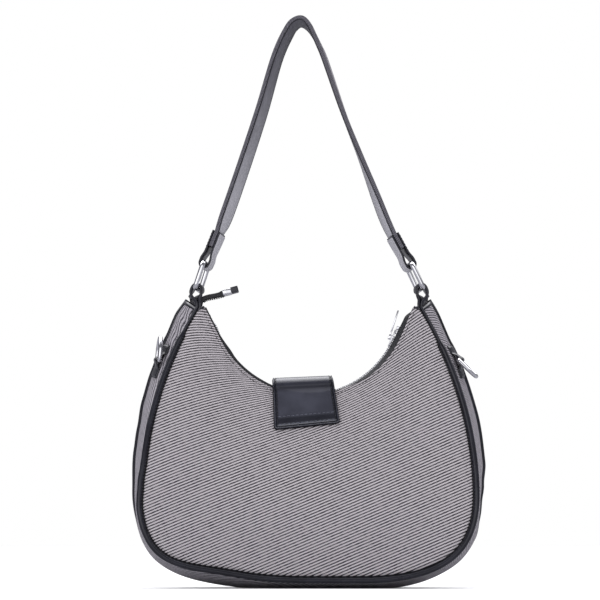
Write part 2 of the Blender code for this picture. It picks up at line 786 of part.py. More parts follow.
def build_tail(tape, metal):
    path = resample(smooth_path(tail_path(), 6), 12)
    normals = normals_2d(path, 1.0)
    rings = []
    for (x, z), (nx, nz) in zip(path, normals):
        ring = []
        for c, n in ((-1, -1), (1, -1), (1, 1), (-1, 1)):
            offset = n * TAIL_THICKNESS / 2
            ring.append(Vector((x + nx * offset, c * TAIL_WIDTH / 2, z + nz * offset)))
        rings.append(ring)
    loft("zip_tail", rings, tape)
    end = Vector((path[-1][0], 0.0, path[-1][1]))
    before = Vector((path[-2][0], 0.0, path[-2][1]))
    along = (end - before).normalized()
    up = Vector((-along.z, 0.0, along.x))
    inside = TAIL_THICKNESS / 2 + GAP
    high = inside + CAP_WALL
    root = GAP - CAP_LENGTH * CAP_POCKET_SHARE
    tip = root + CAP_LENGTH
    nose = tip - CAP_NOSE_LENGTH
    low = high - CAP_NOSE_DROP
    outline = [(root, -high), (nose, -high), (tip, -low), (tip, low), (nose, high), (root, high),
               (root, inside), (GAP, inside), (GAP, -inside), (root, -inside)]
    half = TAIL_WIDTH / 2 + CAP_WALL
    prism("zip_tail_cap", [outline], (-half, half),
          lambda a, b, c: end + along * a + up * b + Vector((0.0, c, 0.0)), metal)


# Rings, loops and strap

def ring_bar(side):
    """Middle of a ring's lower bar: it hangs just above the corner of the body."""
    return Vector((side * RING_BAR_X, 0.0, BACK_CORNER_Z + RING_BAR_RISE))


def ring_axes(side):
    """Directions of a ring: up along it, out from the bag, and along its bars."""
    up = Vector((-side * math.sin(RING_LEAN), 0.0, math.cos(RING_LEAN)))
    bar = Vector((-side * math.sin(RING_YAW), math.cos(RING_YAW), 0.0))
    return up, bar


def ring_top(side):
    up, _ = ring_axes(side)
    return ring_bar(side) + up * RING_BAR_SPACING


def build_rings(metal):
    for side, word in ((-1, "left"), (1, "right")):
        up, bar = ring_axes(side)
        half = RING_INNER_WIDTH / 2 + RING_ROD_RADIUS
        turn = RING_CORNER_RADIUS
        outline = []
        for sy, sz, start in ((1, 1, 0), (-1, 1, 90), (-1, -1, 180), (1, -1, 270)):
            middle = RING_BAR_SPACING / 2
            centre = (sy * (half - turn), middle + sz * (middle - turn))
            outline += arc_points(centre, turn, start, start + 90, 4)
        points = [ring_bar(side) + bar * y + up * z for y, z in outline]
        rod("ring_" + word, points, RING_ROD_RADIUS, True, metal, ring_bar(side))


def loop_place(side):
    """Places a leather loop: a outward, b up from the bar, c along the bar."""
    _, bar = ring_axes(side)
    lean = math.tan(SHOULDER_LEAN)

    def place(a, b, c):
        below = max(-b - LOOP_BEND_START, 0.0)
        straight = smoothstep((-b - LOOP_TURN_START) / LOOP_TURN_LENGTH)
        width = bar.lerp(Vector((0.0, 1.0, 0.0)), straight).normalized()
        out = Vector((width.y, -width.x, 0.0)) * side
        shift = LOOP_TAIL_SHIFT * straight + lean * below
        return ring_bar(side) + out * (a + shift) + width * c + Vector((0.0, 0.0, b))

    return place


def eye_outlines(rod_radius, wall):
    """Teardrop band round a ring's bar: outer edge up to the tail, and the eye."""
    inner = rod_radius + PIVOT_PLAY
    outer = inner + wall
    tail = LOOP_TAIL_HALF
    end = -LOOP_TAIL_LENGTH
    middle = (end - LOOP_BEND_START) / 2
    (waist, tuck), (neck, spread), (tail_top, _) = LOOP_OUTER_INNER_SIDE
    band = arc_points((0.0, 0.0), outer, 0, 180, 8)
    band += [(-outer - tuck, -waist), (-tail - spread, -neck), (-tail, -tail_top), (-tail, -LOOP_BEND_START),
             (-tail, middle), (-tail, end), (tail, end), (tail, middle), (tail, -LOOP_BEND_START)]
    (tail_top, _), (neck, spread), (waist, bulge) = LOOP_OUTER_OUTER_SIDE
    band += [(tail, -tail_top), (outer + spread, -neck), (outer + bulge, -waist)]
    eye = arc_points((0.0, 0.0), inner, 0, 180, 8)
    eye += [(-inner - tuck, -level) for level, tuck in LOOP_EYE_INNER_SIDE]
    eye += [(a, -level) for a, level in LOOP_EYE_TIP]
    eye += [(inner + bulge, -level) for level, bulge in LOOP_EYE_OUTER_SIDE]
    return [band, eye]


def build_loops(leather):
    for side, word in ((-1, "left"), (1, "right")):
        half = LOOP_WIDTH / 2
        prism("corner_loop_" + word, eye_outlines(RING_ROD_RADIUS, LOOP_WALL), (-half, half), loop_place(side),
              leather)


def strap_end_place(side):
    """Places a strap end: a outward, b up along the strap from the ring's upper bar, c along the bar."""
    _, bar = ring_axes(side)
    up = Vector((-side * math.sin(STRAP_END_LEAN), 0.0, math.cos(STRAP_END_LEAN)))
    out = up.cross(bar) * -side
    out.normalize()
    upright = bar.cross(out) * -side
    origin = ring_top(side)

    def place(a, b, c):
        return origin + out * a + upright * b + bar * c

    return place


def build_strap_ends(leather):
    inner = RING_ROD_RADIUS + PIVOT_PLAY
    outer = inner + LOOP_WALL
    pocket = STRAP_THICKNESS / 2 + GAP
    sleeve = pocket + STRAP_END_WALL
    floor = STRAP_END_LENGTH - STRAP_POCKET
    top = STRAP_END_LENGTH
    band = arc_points((0.0, 0.0), outer, 180, 360, 8)
    waist = outer - STRAP_END_WAIST_TUCK
    right = [(waist, STRAP_END_WAIST), (sleeve, STRAP_END_SHOULDER), (sleeve, top)]
    right += [(pocket, top), (pocket, floor)]
    band += right + [(-a, b) for a, b in reversed(right)]
    tip = STRAP_EYE_TIP_HALF
    eye = arc_points((0.0, 0.0), inner, 180, 360, 8)
    eye += [(inner, STRAP_EYE_SHOULDER), (tip, STRAP_EYE_TIP)]
    eye += [(-tip, STRAP_EYE_TIP), (-inner, STRAP_EYE_SHOULDER)]
    for side, word in ((-1, "left"), (1, "right")):
        half = STRAP_WIDTH / 2
        prism("strap_end_" + word, [band, eye], (-half, half), strap_end_place(side), leather, ring_top(-1))


def strap_stations():
    """Near edge and width direction of the strap, from the left pocket over the top to the right one."""
    ends = {}
    for side in (-1, 1):
        place = strap_end_place(side)
        _, bar = ring_axes(side)
        floor = STRAP_END_LENGTH - STRAP_POCKET + GAP
        inside, past, clear = STRAP_STRAIGHT_STEPS
        heights = (floor, floor + inside, STRAP_END_LENGTH + past, STRAP_END_LENGTH + clear)
        ends[side] = [(*place(0.0, height, -STRAP_WIDTH / 2), *bar) for height in heights]
    near_y = ends[-1][-1][1]
    bar = ring_top(1)
    edge = [(across * bar.x, bar.z + up * STRAP_RISE) for across, up, _ in STRAP_EDGE]
    rolls = [math.radians(roll) for _, _, roll in STRAP_EDGE]
    middle = []
    for (x, z), angle, (nx, nz) in zip(edge, rolls, normals_2d(edge, -1.0)):
        middle.append((x, near_y, z, nx * math.sin(angle), math.cos(angle), nz * math.sin(angle)))
    return ends[-1] + middle + list(reversed(ends[1]))


def build_strap(twill):
    path = resample(smooth_path(strap_stations(), 8), 44)
    half = STRAP_THICKNESS / 2
    rings = []
    for index, station in enumerate(path):
        before = Vector(path[max(index - 1, 0)][:3])
        after = Vector(path[min(index + 1, len(path) - 1)][:3])
        along = (after - before).normalized()
        width = Vector(station[3:])
        width = (width - along * width.dot(along)).normalized()
        face = along.cross(width)
        near = Vector(station[:3])
        far = near + width * STRAP_WIDTH
        rings.append([near - face * half, far - face * half, far + face * half, near + face * half])
    loft("strap", rings, twill, ring_top(-1))


# Side D-rings

def d_ring_path():
    """Middle line of a D-ring: its bar and arms as (along the bar, away from the bar) pairs."""
    half = D_INNER_WIDTH / 2 + D_WIRE_RADIUS
    bow = D_INNER_DEPTH + 2 * D_WIRE_RADIUS - half
    turn = D_CORNER_RADIUS
    corner = arc_points((half - turn, turn), turn, -90, 0, 2)
    right = [(0.0, 0.0), *corner]
    left = [(-y, s) for y, s in reversed(corner)]
    return right + arc_points((0.0, bow), half, 0, 180, 10) + left


def build_d_rings(leather, metal, gusset):
    tree = ray_tree(gusset)
    bar_height = D_WIRE_RADIUS + GAP
    wide = D_WIRE_RADIUS + PIVOT_PLAY
    reach = D_STRIP_HALF_LENGTH
    foot = wide + D_STRIP_FOOT
    hump = arc_points((0.0, bar_height), wide * D_STRIP_HUMP_FIT, 192, -12, 4)
    under = [(-reach, GAP), (-(reach + foot) / 2, GAP), (-foot, GAP), *hump,
             (foot, GAP), ((reach + foot) / 2, GAP), (reach, GAP)]
    normals = normals_2d(under, 1.0)
    thick = D_STRIP_THICKNESS
    over = [(a + na * thick, b + nb * thick) for (a, b), (na, nb) in zip(under, normals)]
    columns = [mix(-D_STRIP_WIDTH / 2, D_STRIP_WIDTH / 2, k / 4) for k in range(5)]
    for side, word in ((-1, "left"), (1, "right")):
        start = Vector((side * 0.3, 0.0, D_RING_Z))
        point, out, _, _ = tree.ray_cast(start, Vector((-side, 0.0, 0.0)))
        across = (Vector((0.0, 1.0, 0.0)) - out * out.y).normalized()
        up = out.cross(across) * side

        def place(a, b, c, point=point, up=up, out=out, across=across):
            return point + up * a + out * b + across * c

        def place_strip(a, b, c, place=place, out=out):
            """Follows the gusset beside the hump and goes straight over the ring's bar."""
            sewn = smoothstep((abs(a) - foot) / D_STRIP_BLEND)
            hit = tree.ray_cast(place(a, D_INNER_WIDTH, c), -out)[0]
            drop = (hit - place(a, 0.0, c)).dot(out)
            return place(a, b + sewn * drop, c)

        sheet("d_ring_strip_" + word, [[place_strip(a, b, c) for c in columns] for a, b in over],
              [[place_strip(a, b, c) for c in columns] for a, b in under], leather)
        pivot = place(0.0, bar_height + 0.5 * GAP, 0.0)
        angle = D_STOP_ANGLE if side < 0 else D_RIGHT_REST
        reach_way = up * math.cos(angle) + out * math.sin(angle)
        points = [pivot + across * y + reach_way * s for y, s in d_ring_path()]
        rod("d_ring_" + word, points, D_WIRE_RADIUS, True, metal, pivot)


# Closure tab

def tab_xz(dx, z):
    """Turns a place on the tab by the tab's tilt."""
    dz = z - TAB_CENTRE_Z
    x = TAB_CENTRE_X + dx * math.cos(TAB_TILT) - dz * math.sin(TAB_TILT)
    return x, TAB_CENTRE_Z + dx * math.sin(TAB_TILT) + dz * math.cos(TAB_TILT)


def tab_hinge():
    """The closure tab folds along the top of its arch."""
    x, z = tab_xz(0.0, TAB_TOP_Z + GAP)
    return x, 0.0, z


def tab_rows(tree, side, columns, standoff, thickness):
    """Rows of points of one leg of the tab, from its lower end to its half of the arch."""
    lowest = MOUTH_HALF_GAP + HALF_SHEET
    rows = []

    def face_depth(x, z):
        hit = tree.ray_cast(Vector((x, side * 0.2, z)), Vector((0.0, -side, 0.0)))[0]
        found = abs(hit.y) if hit else lowest
        return max(found, lowest) + standoff

    for k in range(TAB_LEG_STEPS + 1):
        row = []
        for dx in columns:
            x, z = tab_xz(dx, mix(TAB_BOTTOM_Z, TAB_SHOULDER_Z, k / TAB_LEG_STEPS))
            row.append(Vector((x, side * (face_depth(x, z) + thickness), z)))
        rows.append(row)
    inner_height = TAB_TOP_Z - TAB_THICKNESS - TAB_SHOULDER_Z
    for k in range(1, 6):
        angle = math.radians(90.0 * k / 5)
        row = []
        for dx in columns:
            x, shoulder = tab_xz(dx, TAB_SHOULDER_Z)
            depth = (lowest + standoff + thickness) * math.cos(angle)
            x, z = tab_xz(dx, TAB_SHOULDER_Z + (inner_height + thickness) * math.sin(angle))
            row.append(Vector((x, side * max(depth, TAB_HINGE_GAP / 2), z)))
        rows.append(row)
    return rows


def build_tab(leather, panels):
    half = TAB_WIDTH / 2
    columns = [mix(-half, half, k / 6) for k in range(7)]
    for side, name, standoff in ((-1, "tab_back", TAB_SLACK), (1, "tab_front", SNAP_STANDOFF)):
        tree = ray_tree(panels[side])
        outer = tab_rows(tree, side, columns, standoff, TAB_THICKNESS)
        inner = tab_rows(tree, side, columns, standoff, 0.0)
        sheet(name, outer, inner, leather, tab_hinge() if side > 0 else None)


def build_snap(metal, panels):
    tree = ray_tree(panels[1])
    x = TAB_CENTRE_X
    point, normal, _, _ = tree.ray_cast(Vector((x, 0.2, SNAP_Z)), Vector((0.0, -1.0, 0.0)))
    out = Vector((0.0, normal.y, normal.z)).normalized()
    if out.y < 0.0:
        out.negate()
    across = Vector((1.0, 0.0, 0.0))
    up = across.cross(out)

    def place(a, b, c):
        return point + across * a + up * b + out * c

    seat = SNAP_SEAT
    top = seat + SOCKET_THICKNESS
    floor = top - SOCKET_RECESS_DEPTH
    base = prism("snap_socket", [disc(SNAP_RADIUS)], (seat, floor), place, metal)
    wall = prism("snap_socket_rim", [disc(SNAP_RADIUS), disc(SOCKET_RECESS_RADIUS)],
                 (floor - JOIN_OVERLAP, top), place, metal)
    join_solids(base, [wall])
    stud_low = top + GAP
    stud_high = stud_low + STUD_THICKNESS
    stud = prism("snap_stud", [disc(SNAP_RADIUS)], (stud_low, stud_high), place, metal, tab_hinge())
    post = prism("snap_stud_post", [disc(STUD_POST_RADIUS, 12)],
                 (stud_low - STUD_POST_LENGTH, stud_low + JOIN_OVERLAP), place, metal)
    join_solids(stud, [post])
    behind = -PANEL_THICKNESS - SNAP_SEAT
    prism("snap_washer", [disc(SNAP_RADIUS, 16), disc(SNAP_WASHER_HOLE, 8)],
          (behind - SNAP_WASHER_THICKNESS, behind), place, metal)


def main():
    clear_scene()
    twill = finish("twill", (0.30, 0.29, 0.31), 0.85)
    leather = finish("leather", (0.022, 0.022, 0.028), 0.38)
    metal = finish("polished_metal", (0.80, 0.80, 0.82), 0.12, 1.0)
    tape = finish("zip_tape", (0.02, 0.02, 0.023), 0.8)
    cloth = finish("lining", (0.03, 0.03, 0.034), 0.7)
    board = finish("board", (0.09, 0.08, 0.07), 0.8)
    panels = build_panels(twill)
    gusset = build_gusset(twill)
    build_piping(leather)
    low = board_low(gusset)
    build_base_board(board, low)
    build_lining(cloth, low)
    build_zip(tape, metal)
    pivot = build_slider(metal)
    build_puller(metal, pivot)
    build_tail(tape, metal)
    build_rings(metal)
    build_loops(leather)
    build_strap_ends(leather)
    build_strap(twill)
    build_d_rings(leather, metal, gusset)
    build_tab(leather, panels)
    build_snap(metal, panels)


main()
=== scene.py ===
# %% [markdown]
# # A small shoulder bag with a crescent mouth
# The bag is a woven body with leather piping, a zip round its crescent mouth, a leather tab that snaps shut
# over the zip, a D-ring on each side and a short strap hung from two oblong rings. It is seen from its back.
# Lengths are metres, +Z is up, X runs from corner to corner and -Y looks toward the back panel.

import json
import math

import bmesh
import bpy
from mathutils import Matrix, Vector
from mathutils.bvhtree import BVHTree


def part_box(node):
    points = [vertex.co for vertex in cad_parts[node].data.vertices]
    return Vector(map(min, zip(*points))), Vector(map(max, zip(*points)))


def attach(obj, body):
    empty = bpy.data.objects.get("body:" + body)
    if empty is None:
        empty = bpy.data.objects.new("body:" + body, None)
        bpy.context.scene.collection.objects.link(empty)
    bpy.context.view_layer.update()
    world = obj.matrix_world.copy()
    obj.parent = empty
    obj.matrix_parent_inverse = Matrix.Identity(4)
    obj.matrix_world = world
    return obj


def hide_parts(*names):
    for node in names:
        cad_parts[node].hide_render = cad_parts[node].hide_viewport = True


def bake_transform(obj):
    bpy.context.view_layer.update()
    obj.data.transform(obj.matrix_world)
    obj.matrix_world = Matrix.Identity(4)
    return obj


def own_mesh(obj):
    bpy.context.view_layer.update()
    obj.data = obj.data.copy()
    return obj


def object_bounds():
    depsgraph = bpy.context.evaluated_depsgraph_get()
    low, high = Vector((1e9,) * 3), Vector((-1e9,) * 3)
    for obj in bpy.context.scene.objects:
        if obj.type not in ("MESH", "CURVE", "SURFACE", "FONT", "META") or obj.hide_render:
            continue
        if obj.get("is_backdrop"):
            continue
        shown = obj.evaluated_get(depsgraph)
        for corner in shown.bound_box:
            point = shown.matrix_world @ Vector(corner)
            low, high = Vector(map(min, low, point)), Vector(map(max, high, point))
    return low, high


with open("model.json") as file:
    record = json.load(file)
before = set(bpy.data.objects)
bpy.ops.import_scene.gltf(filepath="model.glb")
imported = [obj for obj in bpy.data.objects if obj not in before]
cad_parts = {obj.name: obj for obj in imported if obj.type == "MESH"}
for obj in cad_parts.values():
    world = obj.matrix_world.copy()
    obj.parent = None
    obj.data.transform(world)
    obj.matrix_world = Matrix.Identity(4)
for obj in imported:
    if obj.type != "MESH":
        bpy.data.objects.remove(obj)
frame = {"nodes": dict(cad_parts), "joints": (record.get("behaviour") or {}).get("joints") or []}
start_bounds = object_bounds()

# %% [markdown]
# ## Driving sizes
# These are the hard model's own sizes. They could be read back from its boxes, but a soft piece needs the
# curves between them, and the same few numbers build the same curves. The tables of shifts say where the filled
# bag stands out of that clean pattern.

# %% Sizes
MM = 0.001
GAP = 0.3 * MM

MOUTH_LOW_Z = 0.1520
MOUTH_RADIUS = 0.0780
MOUTH_ARC_HALF = math.radians(63.8)
MOUTH_LEG = 0.0297
MOUTH_HALF_GAP = 0.0105
MOUTH_CENTRE_Z = MOUTH_LOW_Z + MOUTH_RADIUS
MOUTH_END_X = MOUTH_RADIUS * math.sin(MOUTH_ARC_HALF) + MOUTH_LEG * math.cos(MOUTH_ARC_HALF)
MOUTH_END_Z = MOUTH_CENTRE_Z - MOUTH_RADIUS * math.cos(MOUTH_ARC_HALF) + MOUTH_LEG * math.sin(MOUTH_ARC_HALF)

HALF_WIDTH = {-1: 0.1305, 1: 0.1393}
WIDEST_Z = 0.0735
CORNER = {-1: (MOUTH_END_X + 0.0052, MOUTH_END_Z - 0.0007), 1: (MOUTH_END_X + 0.0094, MOUTH_END_Z + 0.0008)}
PIPING_RADIUS = 0.0025
BASE_Z = {-1: PIPING_RADIUS + 0.0040, 1: PIPING_RADIUS}
BASE_FLAT_HALF = 0.0400
BASE_REACH = 0.0630
BELLY_DROP = 0.0470
BELLY_RISE = 0.0540
SHOULDER_PULL = 0.0500
SHOULDER_LEAN = math.radians(31.0)
BASE_HALF_DEPTH = 0.0350
CORNER_HALF_DEPTH = 0.0115
TAPER_START_Z = 0.0300
PANEL_BELLY = 0.0060
HALF_SHEET = 0.0010
SEAM_OFFSET = PIPING_RADIUS + GAP

ZIP_CENTRE = (-0.0016, MOUTH_CENTRE_Z - 0.0025)
ZIP_RADIUS = MOUTH_RADIUS - 0.0027
TAPE_END_SETBACK = 0.0060

RING_LEAN = {-1: math.radians(18.0), 1: math.radians(25.0)}
RING_YAW = math.radians(5.0)
RING_BAR_SPACING = 0.0210
RING_ROD_RADIUS = 0.0020
STRAP_WIDTH = 0.0240
STRAP_THICKNESS = 0.0034

STEPS = 320
LINE_STEPS = 200
CURVE_STEPS = 80

# How far the front seam spreads beyond its pattern line: height and outward shift in mm, left and right
FRONT_SPREAD = {
    -1: ((0, 0), (12, 1.6), (24, 2.0), (38, 1.0), (55, -0.4), (78, 0.2), (110, 1.9), (127, 2.6), (149, 4.6),
         (172, 5.8), (190, 6.8), (212, 7.0), (223, 4.6)),
    1: ((0, 0), (13, -1.5), (24, 0.6), (38, 0.4), (55, -2.2), (68, -2.6), (82, -1.0), (100, 1.4), (140, 3.0),
        (189, 4.0), (212, 4.0), (223, 3.2)),
}
FRONT_CORNER_LIFT = 0.0055
# The back seam at the lower left, in the same way: it hangs out a little and runs up early from the base
BACK_SPREAD = ((0, 0.0), (15, 1.8), (30, 2.6), (60, 2.4), (80, 1.4), (100, 0.0), (223, 0.0))
BACK_LIFT, BACK_LIFT_X, BACK_LIFT_REACH = 0.0049, -0.0720, 0.0480
print("mouth ends at", round(MOUTH_END_X, 4), round(MOUTH_END_Z, 4))

# %% [markdown]
# ## Small tools
# Cloth and leather can be draped by a simulation, sculpted, or drawn as a grid of points. Here nearly every
# edge is sewn to something, so the sheets are drawn directly: the curve tools give the seams, and `skin` closes
# two grids of points into a sheet of real thickness.


# %% Curve tools
def mix(a, b, t):
    return a + (b - a) * t


def smoothstep(t):
    t = min(max(t, 0.0), 1.0)
    return t * t * (3.0 - 2.0 * t)


def bump(t):
    """A bell of height one and half width about one."""
    return math.exp(-t * t * 2.0)


def bezier(p0, p1, p2, p3, t):
    s = 1.0 - t
    weights = (s * s * s, 3.0 * s * s * t, 3.0 * s * t * t, t * t * t)
    return tuple(sum(w * p[k] for w, p in zip(weights, (p0, p1, p2, p3))) for k in range(len(p0)))


def resample(points, count):
    """The same polyline cut into equal lengths."""
    lengths = [0.0]
    for a, b in zip(points, points[1:]):
        lengths.append(lengths[-1] + math.dist(a[:3], b[:3]))
    result = []
    segment = 0
    for step in range(count + 1):
        target = lengths[-1] * step / count
        while segment < len(points) - 2 and lengths[segment + 1] < target:
            segment += 1
        t = (target - lengths[segment]) / (lengths[segment + 1] - lengths[segment])
        result.append(tuple(mix(a, b, t) for a, b in zip(points[segment], points[segment + 1])))
    return result


def smooth_path(points, pieces):
    """A Catmull-Rom curve through the given points."""
    padded = [points[0], *points, points[-1]]
    result = []
    for a, b, c, d in zip(padded, padded[1:], padded[2:], padded[3:]):
        for piece in range(pieces):
            t = piece / pieces
            result.append(tuple(
                0.5 * (2 * q + (r - p) * t + (2 * p - 5 * q + 4 * r - s) * t * t
                       + (3 * q - p - 3 * r + s) * t * t * t)
                for p, q, r, s in zip(a, b, c, d)))
    result.append(tuple(points[-1]))
    return result


def normals_2d(points, sign=1.0):
    result = []
    for index in range(len(points)):
        before = points[max(index - 1, 0)]
        after = points[min(index + 1, len(points) - 1)]
        dx, dz = after[0] - before[0], after[1] - before[1]
        size = math.hypot(dx, dz)
        result.append((-sign * dz / size, sign * dx / size))
    return result


def at(points, place):
    """The point at a fractional index of a list of tuples."""
    index = min(int(place), len(points) - 2)
    return tuple(mix(a, b, place - index) for a, b in zip(points[index], points[index + 1]))


print("a smooth step at a quarter", smoothstep(0.25))


# %% Mesh tools
Y_AXIS = Vector((0.0, 1.0, 0.0))
ENDS = ((-1, "left"), (1, "right"))
FACES = ((-1, "back"), (1, "front"))


def make_mesh(name, points, faces, uvs=None):
    """A smooth mesh object. A named coordinate set has one pair per point."""
    mesh = bpy.data.meshes.new(name)
    mesh.from_pydata([tuple(p) for p in points], [], faces)
    shape = bmesh.new()
    shape.from_mesh(mesh)
    bmesh.ops.recalc_face_normals(shape, faces=shape.faces)
    shape.to_mesh(mesh)
    shape.free()
    for label, values in (uvs or {}).items():
        flat = [v for loop in mesh.loops for v in values[loop.vertex_index]]
        mesh.uv_layers.new(name=label).data.foreach_set("uv", flat)
    mesh.shade_smooth()
    mesh.set_sharp_from_angle(angle=math.radians(50.0))
    item = bpy.data.objects.new(name, mesh)
    bpy.context.scene.collection.objects.link(item)
    return item


def skin(name, outer, inner, uvs=None):
    """A closed sheet between two grids of points."""
    rows, columns = len(outer), len(outer[0])
    shift = rows * columns
    points = [p for row in outer for p in row] + [p for row in inner for p in row]
    faces = []
    for i in range(rows - 1):
        for j in range(columns - 1):
            quad = (i * columns + j, (i + 1) * columns + j, (i + 1) * columns + j + 1, i * columns + j + 1)
            faces += [quad, tuple(shift + k for k in reversed(quad))]
    rim = [i * columns for i in range(rows)] + [(rows - 1) * columns + j for j in range(1, columns)]
    rim += [i * columns + columns - 1 for i in range(rows - 2, -1, -1)] + list(range(columns - 2, 0, -1))
    faces += [(a, b, shift + b, shift + a) for a, b in zip(rim, rim[1:] + rim[:1])]
    return make_mesh(name, points, faces, {label: values + values for label, values in (uvs or {}).items()})


# %% [markdown]
# ## Finishes
# A material is a graph of shader nodes. It could be built by hand in the editor. In a script a small class
# keeps its arithmetic readable: `rise` and `fall` are soft steps, and `mix` blends two colours.


# %% Shader graph
class Graph:
    """A shader graph written as calls. A value is a number, a colour or another node's socket."""

    def __init__(self, owner):
        owner.use_nodes = True
        self.owner = owner
        self.nodes = owner.node_tree.nodes
        self.links = owner.node_tree.links

    def feed(self, socket, value):
        if isinstance(value, bpy.types.NodeSocket):
            self.links.new(value, socket)
        else:
            socket.default_value = (*value, 1.0) if isinstance(value, tuple) else value

    def feed_named(self, node, inputs):
        """An input's name is given with _ for each space."""
        for name, value in inputs.items():
            self.feed(node.inputs[name.replace("_", " ")], value)

    def node(self, kind, **inputs):
        node = self.nodes.new("ShaderNode" + kind)
        self.feed_named(node, inputs)
        return node

    def math(self, operation, *values, clamp=False):
        node = self.node("Math")
        node.operation = operation
        node.use_clamp = clamp
        for socket, value in zip(node.inputs, values):
            self.feed(socket, value)
        return node.outputs[0]

    def add(self, first, second):
        return self.math("ADD", first, second)

    def subtract(self, first, second):
        return self.math("SUBTRACT", first, second)

    def multiply(self, first, second, clamp=False):
        return self.math("MULTIPLY", first, second, clamp=clamp)

    def distance(self, first, second):
        return self.math("ABSOLUTE", self.subtract(first, second))

    def rise(self, value, low, high):
        """Zero below low, one above high, smooth between."""
        node = self.node("MapRange", Value=value, From_Min=low, From_Max=high)
        node.interpolation_type = "SMOOTHSTEP"
        return node.outputs["Result"]

    def fall(self, value, low, high):
        return self.subtract(1.0, self.rise(value, low, high))

    def mix(self, factor, first, second):
        node = self.node("Mix")
        node.data_type = "RGBA"
        for index, value in ((0, factor), (6, first), (7, second)):
            self.feed(node.inputs[index], value)
        return node.outputs[2]

    def bump(self, height, strength, distance):
        return self.node("Bump", Height=height, Strength=strength, Distance=distance).outputs["Normal"]

    def split(self, vector):
        return tuple(self.node("SeparateXYZ", Vector=vector).outputs)

    def coordinates(self, label):
        """The two values of a named coordinate set."""
        source = self.node("UVMap")
        source.uv_map = label
        return self.split(source.outputs["UV"])[:2]

    def place(self):
        return self.node("TexCoord").outputs["Object"]

    def noise(self, scale, detail):
        return self.node("TexNoise", Vector=self.place(), Scale=scale, Detail=detail).outputs["Fac"]

    def shade(self, **inputs):
        """Sets the shader's inputs and gives the finished material."""
        shader = next(node for node in self.nodes if node.type == "BSDF_PRINCIPLED")
        self.feed_named(shader, inputs)
        return self.owner


# %% [markdown]
# ## Twill
# The body is a heavy two-tone twill: pale ribs, made of short yarn floats, over a charcoal ground. A picture of
# cloth could be wrapped round it, but its grain would stretch at the seams. Here each sheet carries a
# coordinate set that counts its ribs, and the shader draws every float from those two numbers. Near the piping
# the cloth is painted near black: painted shade where it dives into the seam.


# %% Twill
def twill_finish(name, pale, dark, seam=True):
    """Ribbed twill. Set weave counts ribs across and floats along, set edge has the way to the piping in mm."""
    graph = Graph(bpy.data.materials.new(name))
    along, across = graph.coordinates("weave")
    phase, rib_index = graph.math("FRACT", across), graph.math("FLOOR", across)
    float_place = graph.add(graph.add(graph.multiply(along, 1.7), graph.multiply(phase, 0.55)),
                            graph.multiply(rib_index, 0.37))
    float_body = graph.fall(graph.distance(graph.math("FRACT", float_place), 0.5), 0.30, 0.52)
    cell = graph.node("CombineXYZ", X=graph.math("FLOOR", float_place), Y=rib_index).outputs[0]
    noise = graph.node("TexWhiteNoise", Vector=cell)
    noise.noise_dimensions = "2D"
    random = noise.outputs["Value"]
    uneven = graph.multiply(graph.subtract(random, 0.5), 0.16)
    rib = graph.fall(graph.add(graph.distance(phase, 0.5), uneven), 0.16, 0.42)
    yarn = graph.multiply(rib, graph.add(graph.multiply(float_body, 0.42), 0.56))
    varied = graph.multiply(yarn, graph.add(graph.multiply(random, 0.30), 0.82), clamp=True)
    colour = graph.mix(varied, dark, pale)
    # Painted shade: when seam is set, the cloth within about a millimetre of the piping is painted near black, for
    # the shade in the seam's groove.
    if seam:
        to_piping, _ = graph.coordinates("edge")
        ragged = graph.subtract(to_piping, graph.multiply(graph.subtract(1.0, rib), 0.9))
        colour = graph.mix(graph.rise(ragged, 0.3, 1.0), (0.006, 0.006, 0.008), colour)
    height = graph.multiply(rib, graph.add(graph.multiply(float_body, 0.35), 0.65))
    return graph.shade(Base_Color=colour, Roughness=0.85, Specular_IOR_Level=0.25,
                       Normal=graph.bump(height, 0.7, 0.0003))


# %% [markdown]
# ## Leather, metal and plain weaves
# Leather is smooth and black with a blue-grey cast: a dark glossy base, a fine bump for its grain and broad
# lighter patches. Plating is a mirror, and its smoothness changes a little from place to place, because an even
# one looks drawn. Tape and lining are a plain weave of two waves. The strap's pale backing is painted darker
# toward the top: painted shade where its face turns from the light.


# %% Leather, metal and plain weaves
def leather_finish(name, colour, roughness, grain=0.25, scale=900.0, specular=0.5, grooved=False):
    """Leather, edge paint or thread: a fine grain, broad lighter patches and, where grooved, dark marks with less
    gloss: edge paint on cut edges and painted shade in grooves.
    """
    graph = Graph(bpy.data.materials.new(name))
    lighter = tuple(value * 1.5 + 0.002 for value in colour)
    shade = graph.mix(graph.rise(graph.noise(45.0, 2.0), 0.3, 0.7), colour, lighter)
    # Where grooved, the groove set paints the leather near black and dulls its gloss: edge paint on cut edges and
    # painted shade in the grooves.
    if grooved:
        dark, _ = graph.coordinates("groove")
        shade = graph.mix(dark, shade, (0.002, 0.002, 0.003))
        specular = graph.multiply(graph.subtract(1.0, graph.multiply(dark, 0.85)), specular)
    return graph.shade(Base_Color=shade, Roughness=roughness, Specular_IOR_Level=specular,
                       Normal=graph.bump(graph.noise(scale, 3.0), grain, 0.00012))


def metal_finish(name, colour, roughness):
    """Plating, a little smoother in some places than in others."""
    graph = Graph(bpy.data.materials.new(name))
    wear = graph.node("MapRange", Value=graph.noise(300.0, 3.0), To_Min=roughness * 0.7, To_Max=roughness * 1.4)
    return graph.shade(Base_Color=colour, Metallic=1.0, Roughness=wear.outputs["Result"])


def cloth_finish(name, first, second, scale):
    """A fine plain weave for tape and lining."""
    graph = Graph(bpy.data.materials.new(name))
    x, _, z = graph.split(graph.place())
    waves = [graph.math("SINE", graph.multiply(value, scale)) for value in (x, z)]
    woven = graph.multiply(*waves)
    return graph.shade(Base_Color=graph.mix(graph.rise(woven, -0.6, 0.6), first, second), Roughness=0.8,
                       Normal=graph.bump(woven, 0.25, 0.0001))


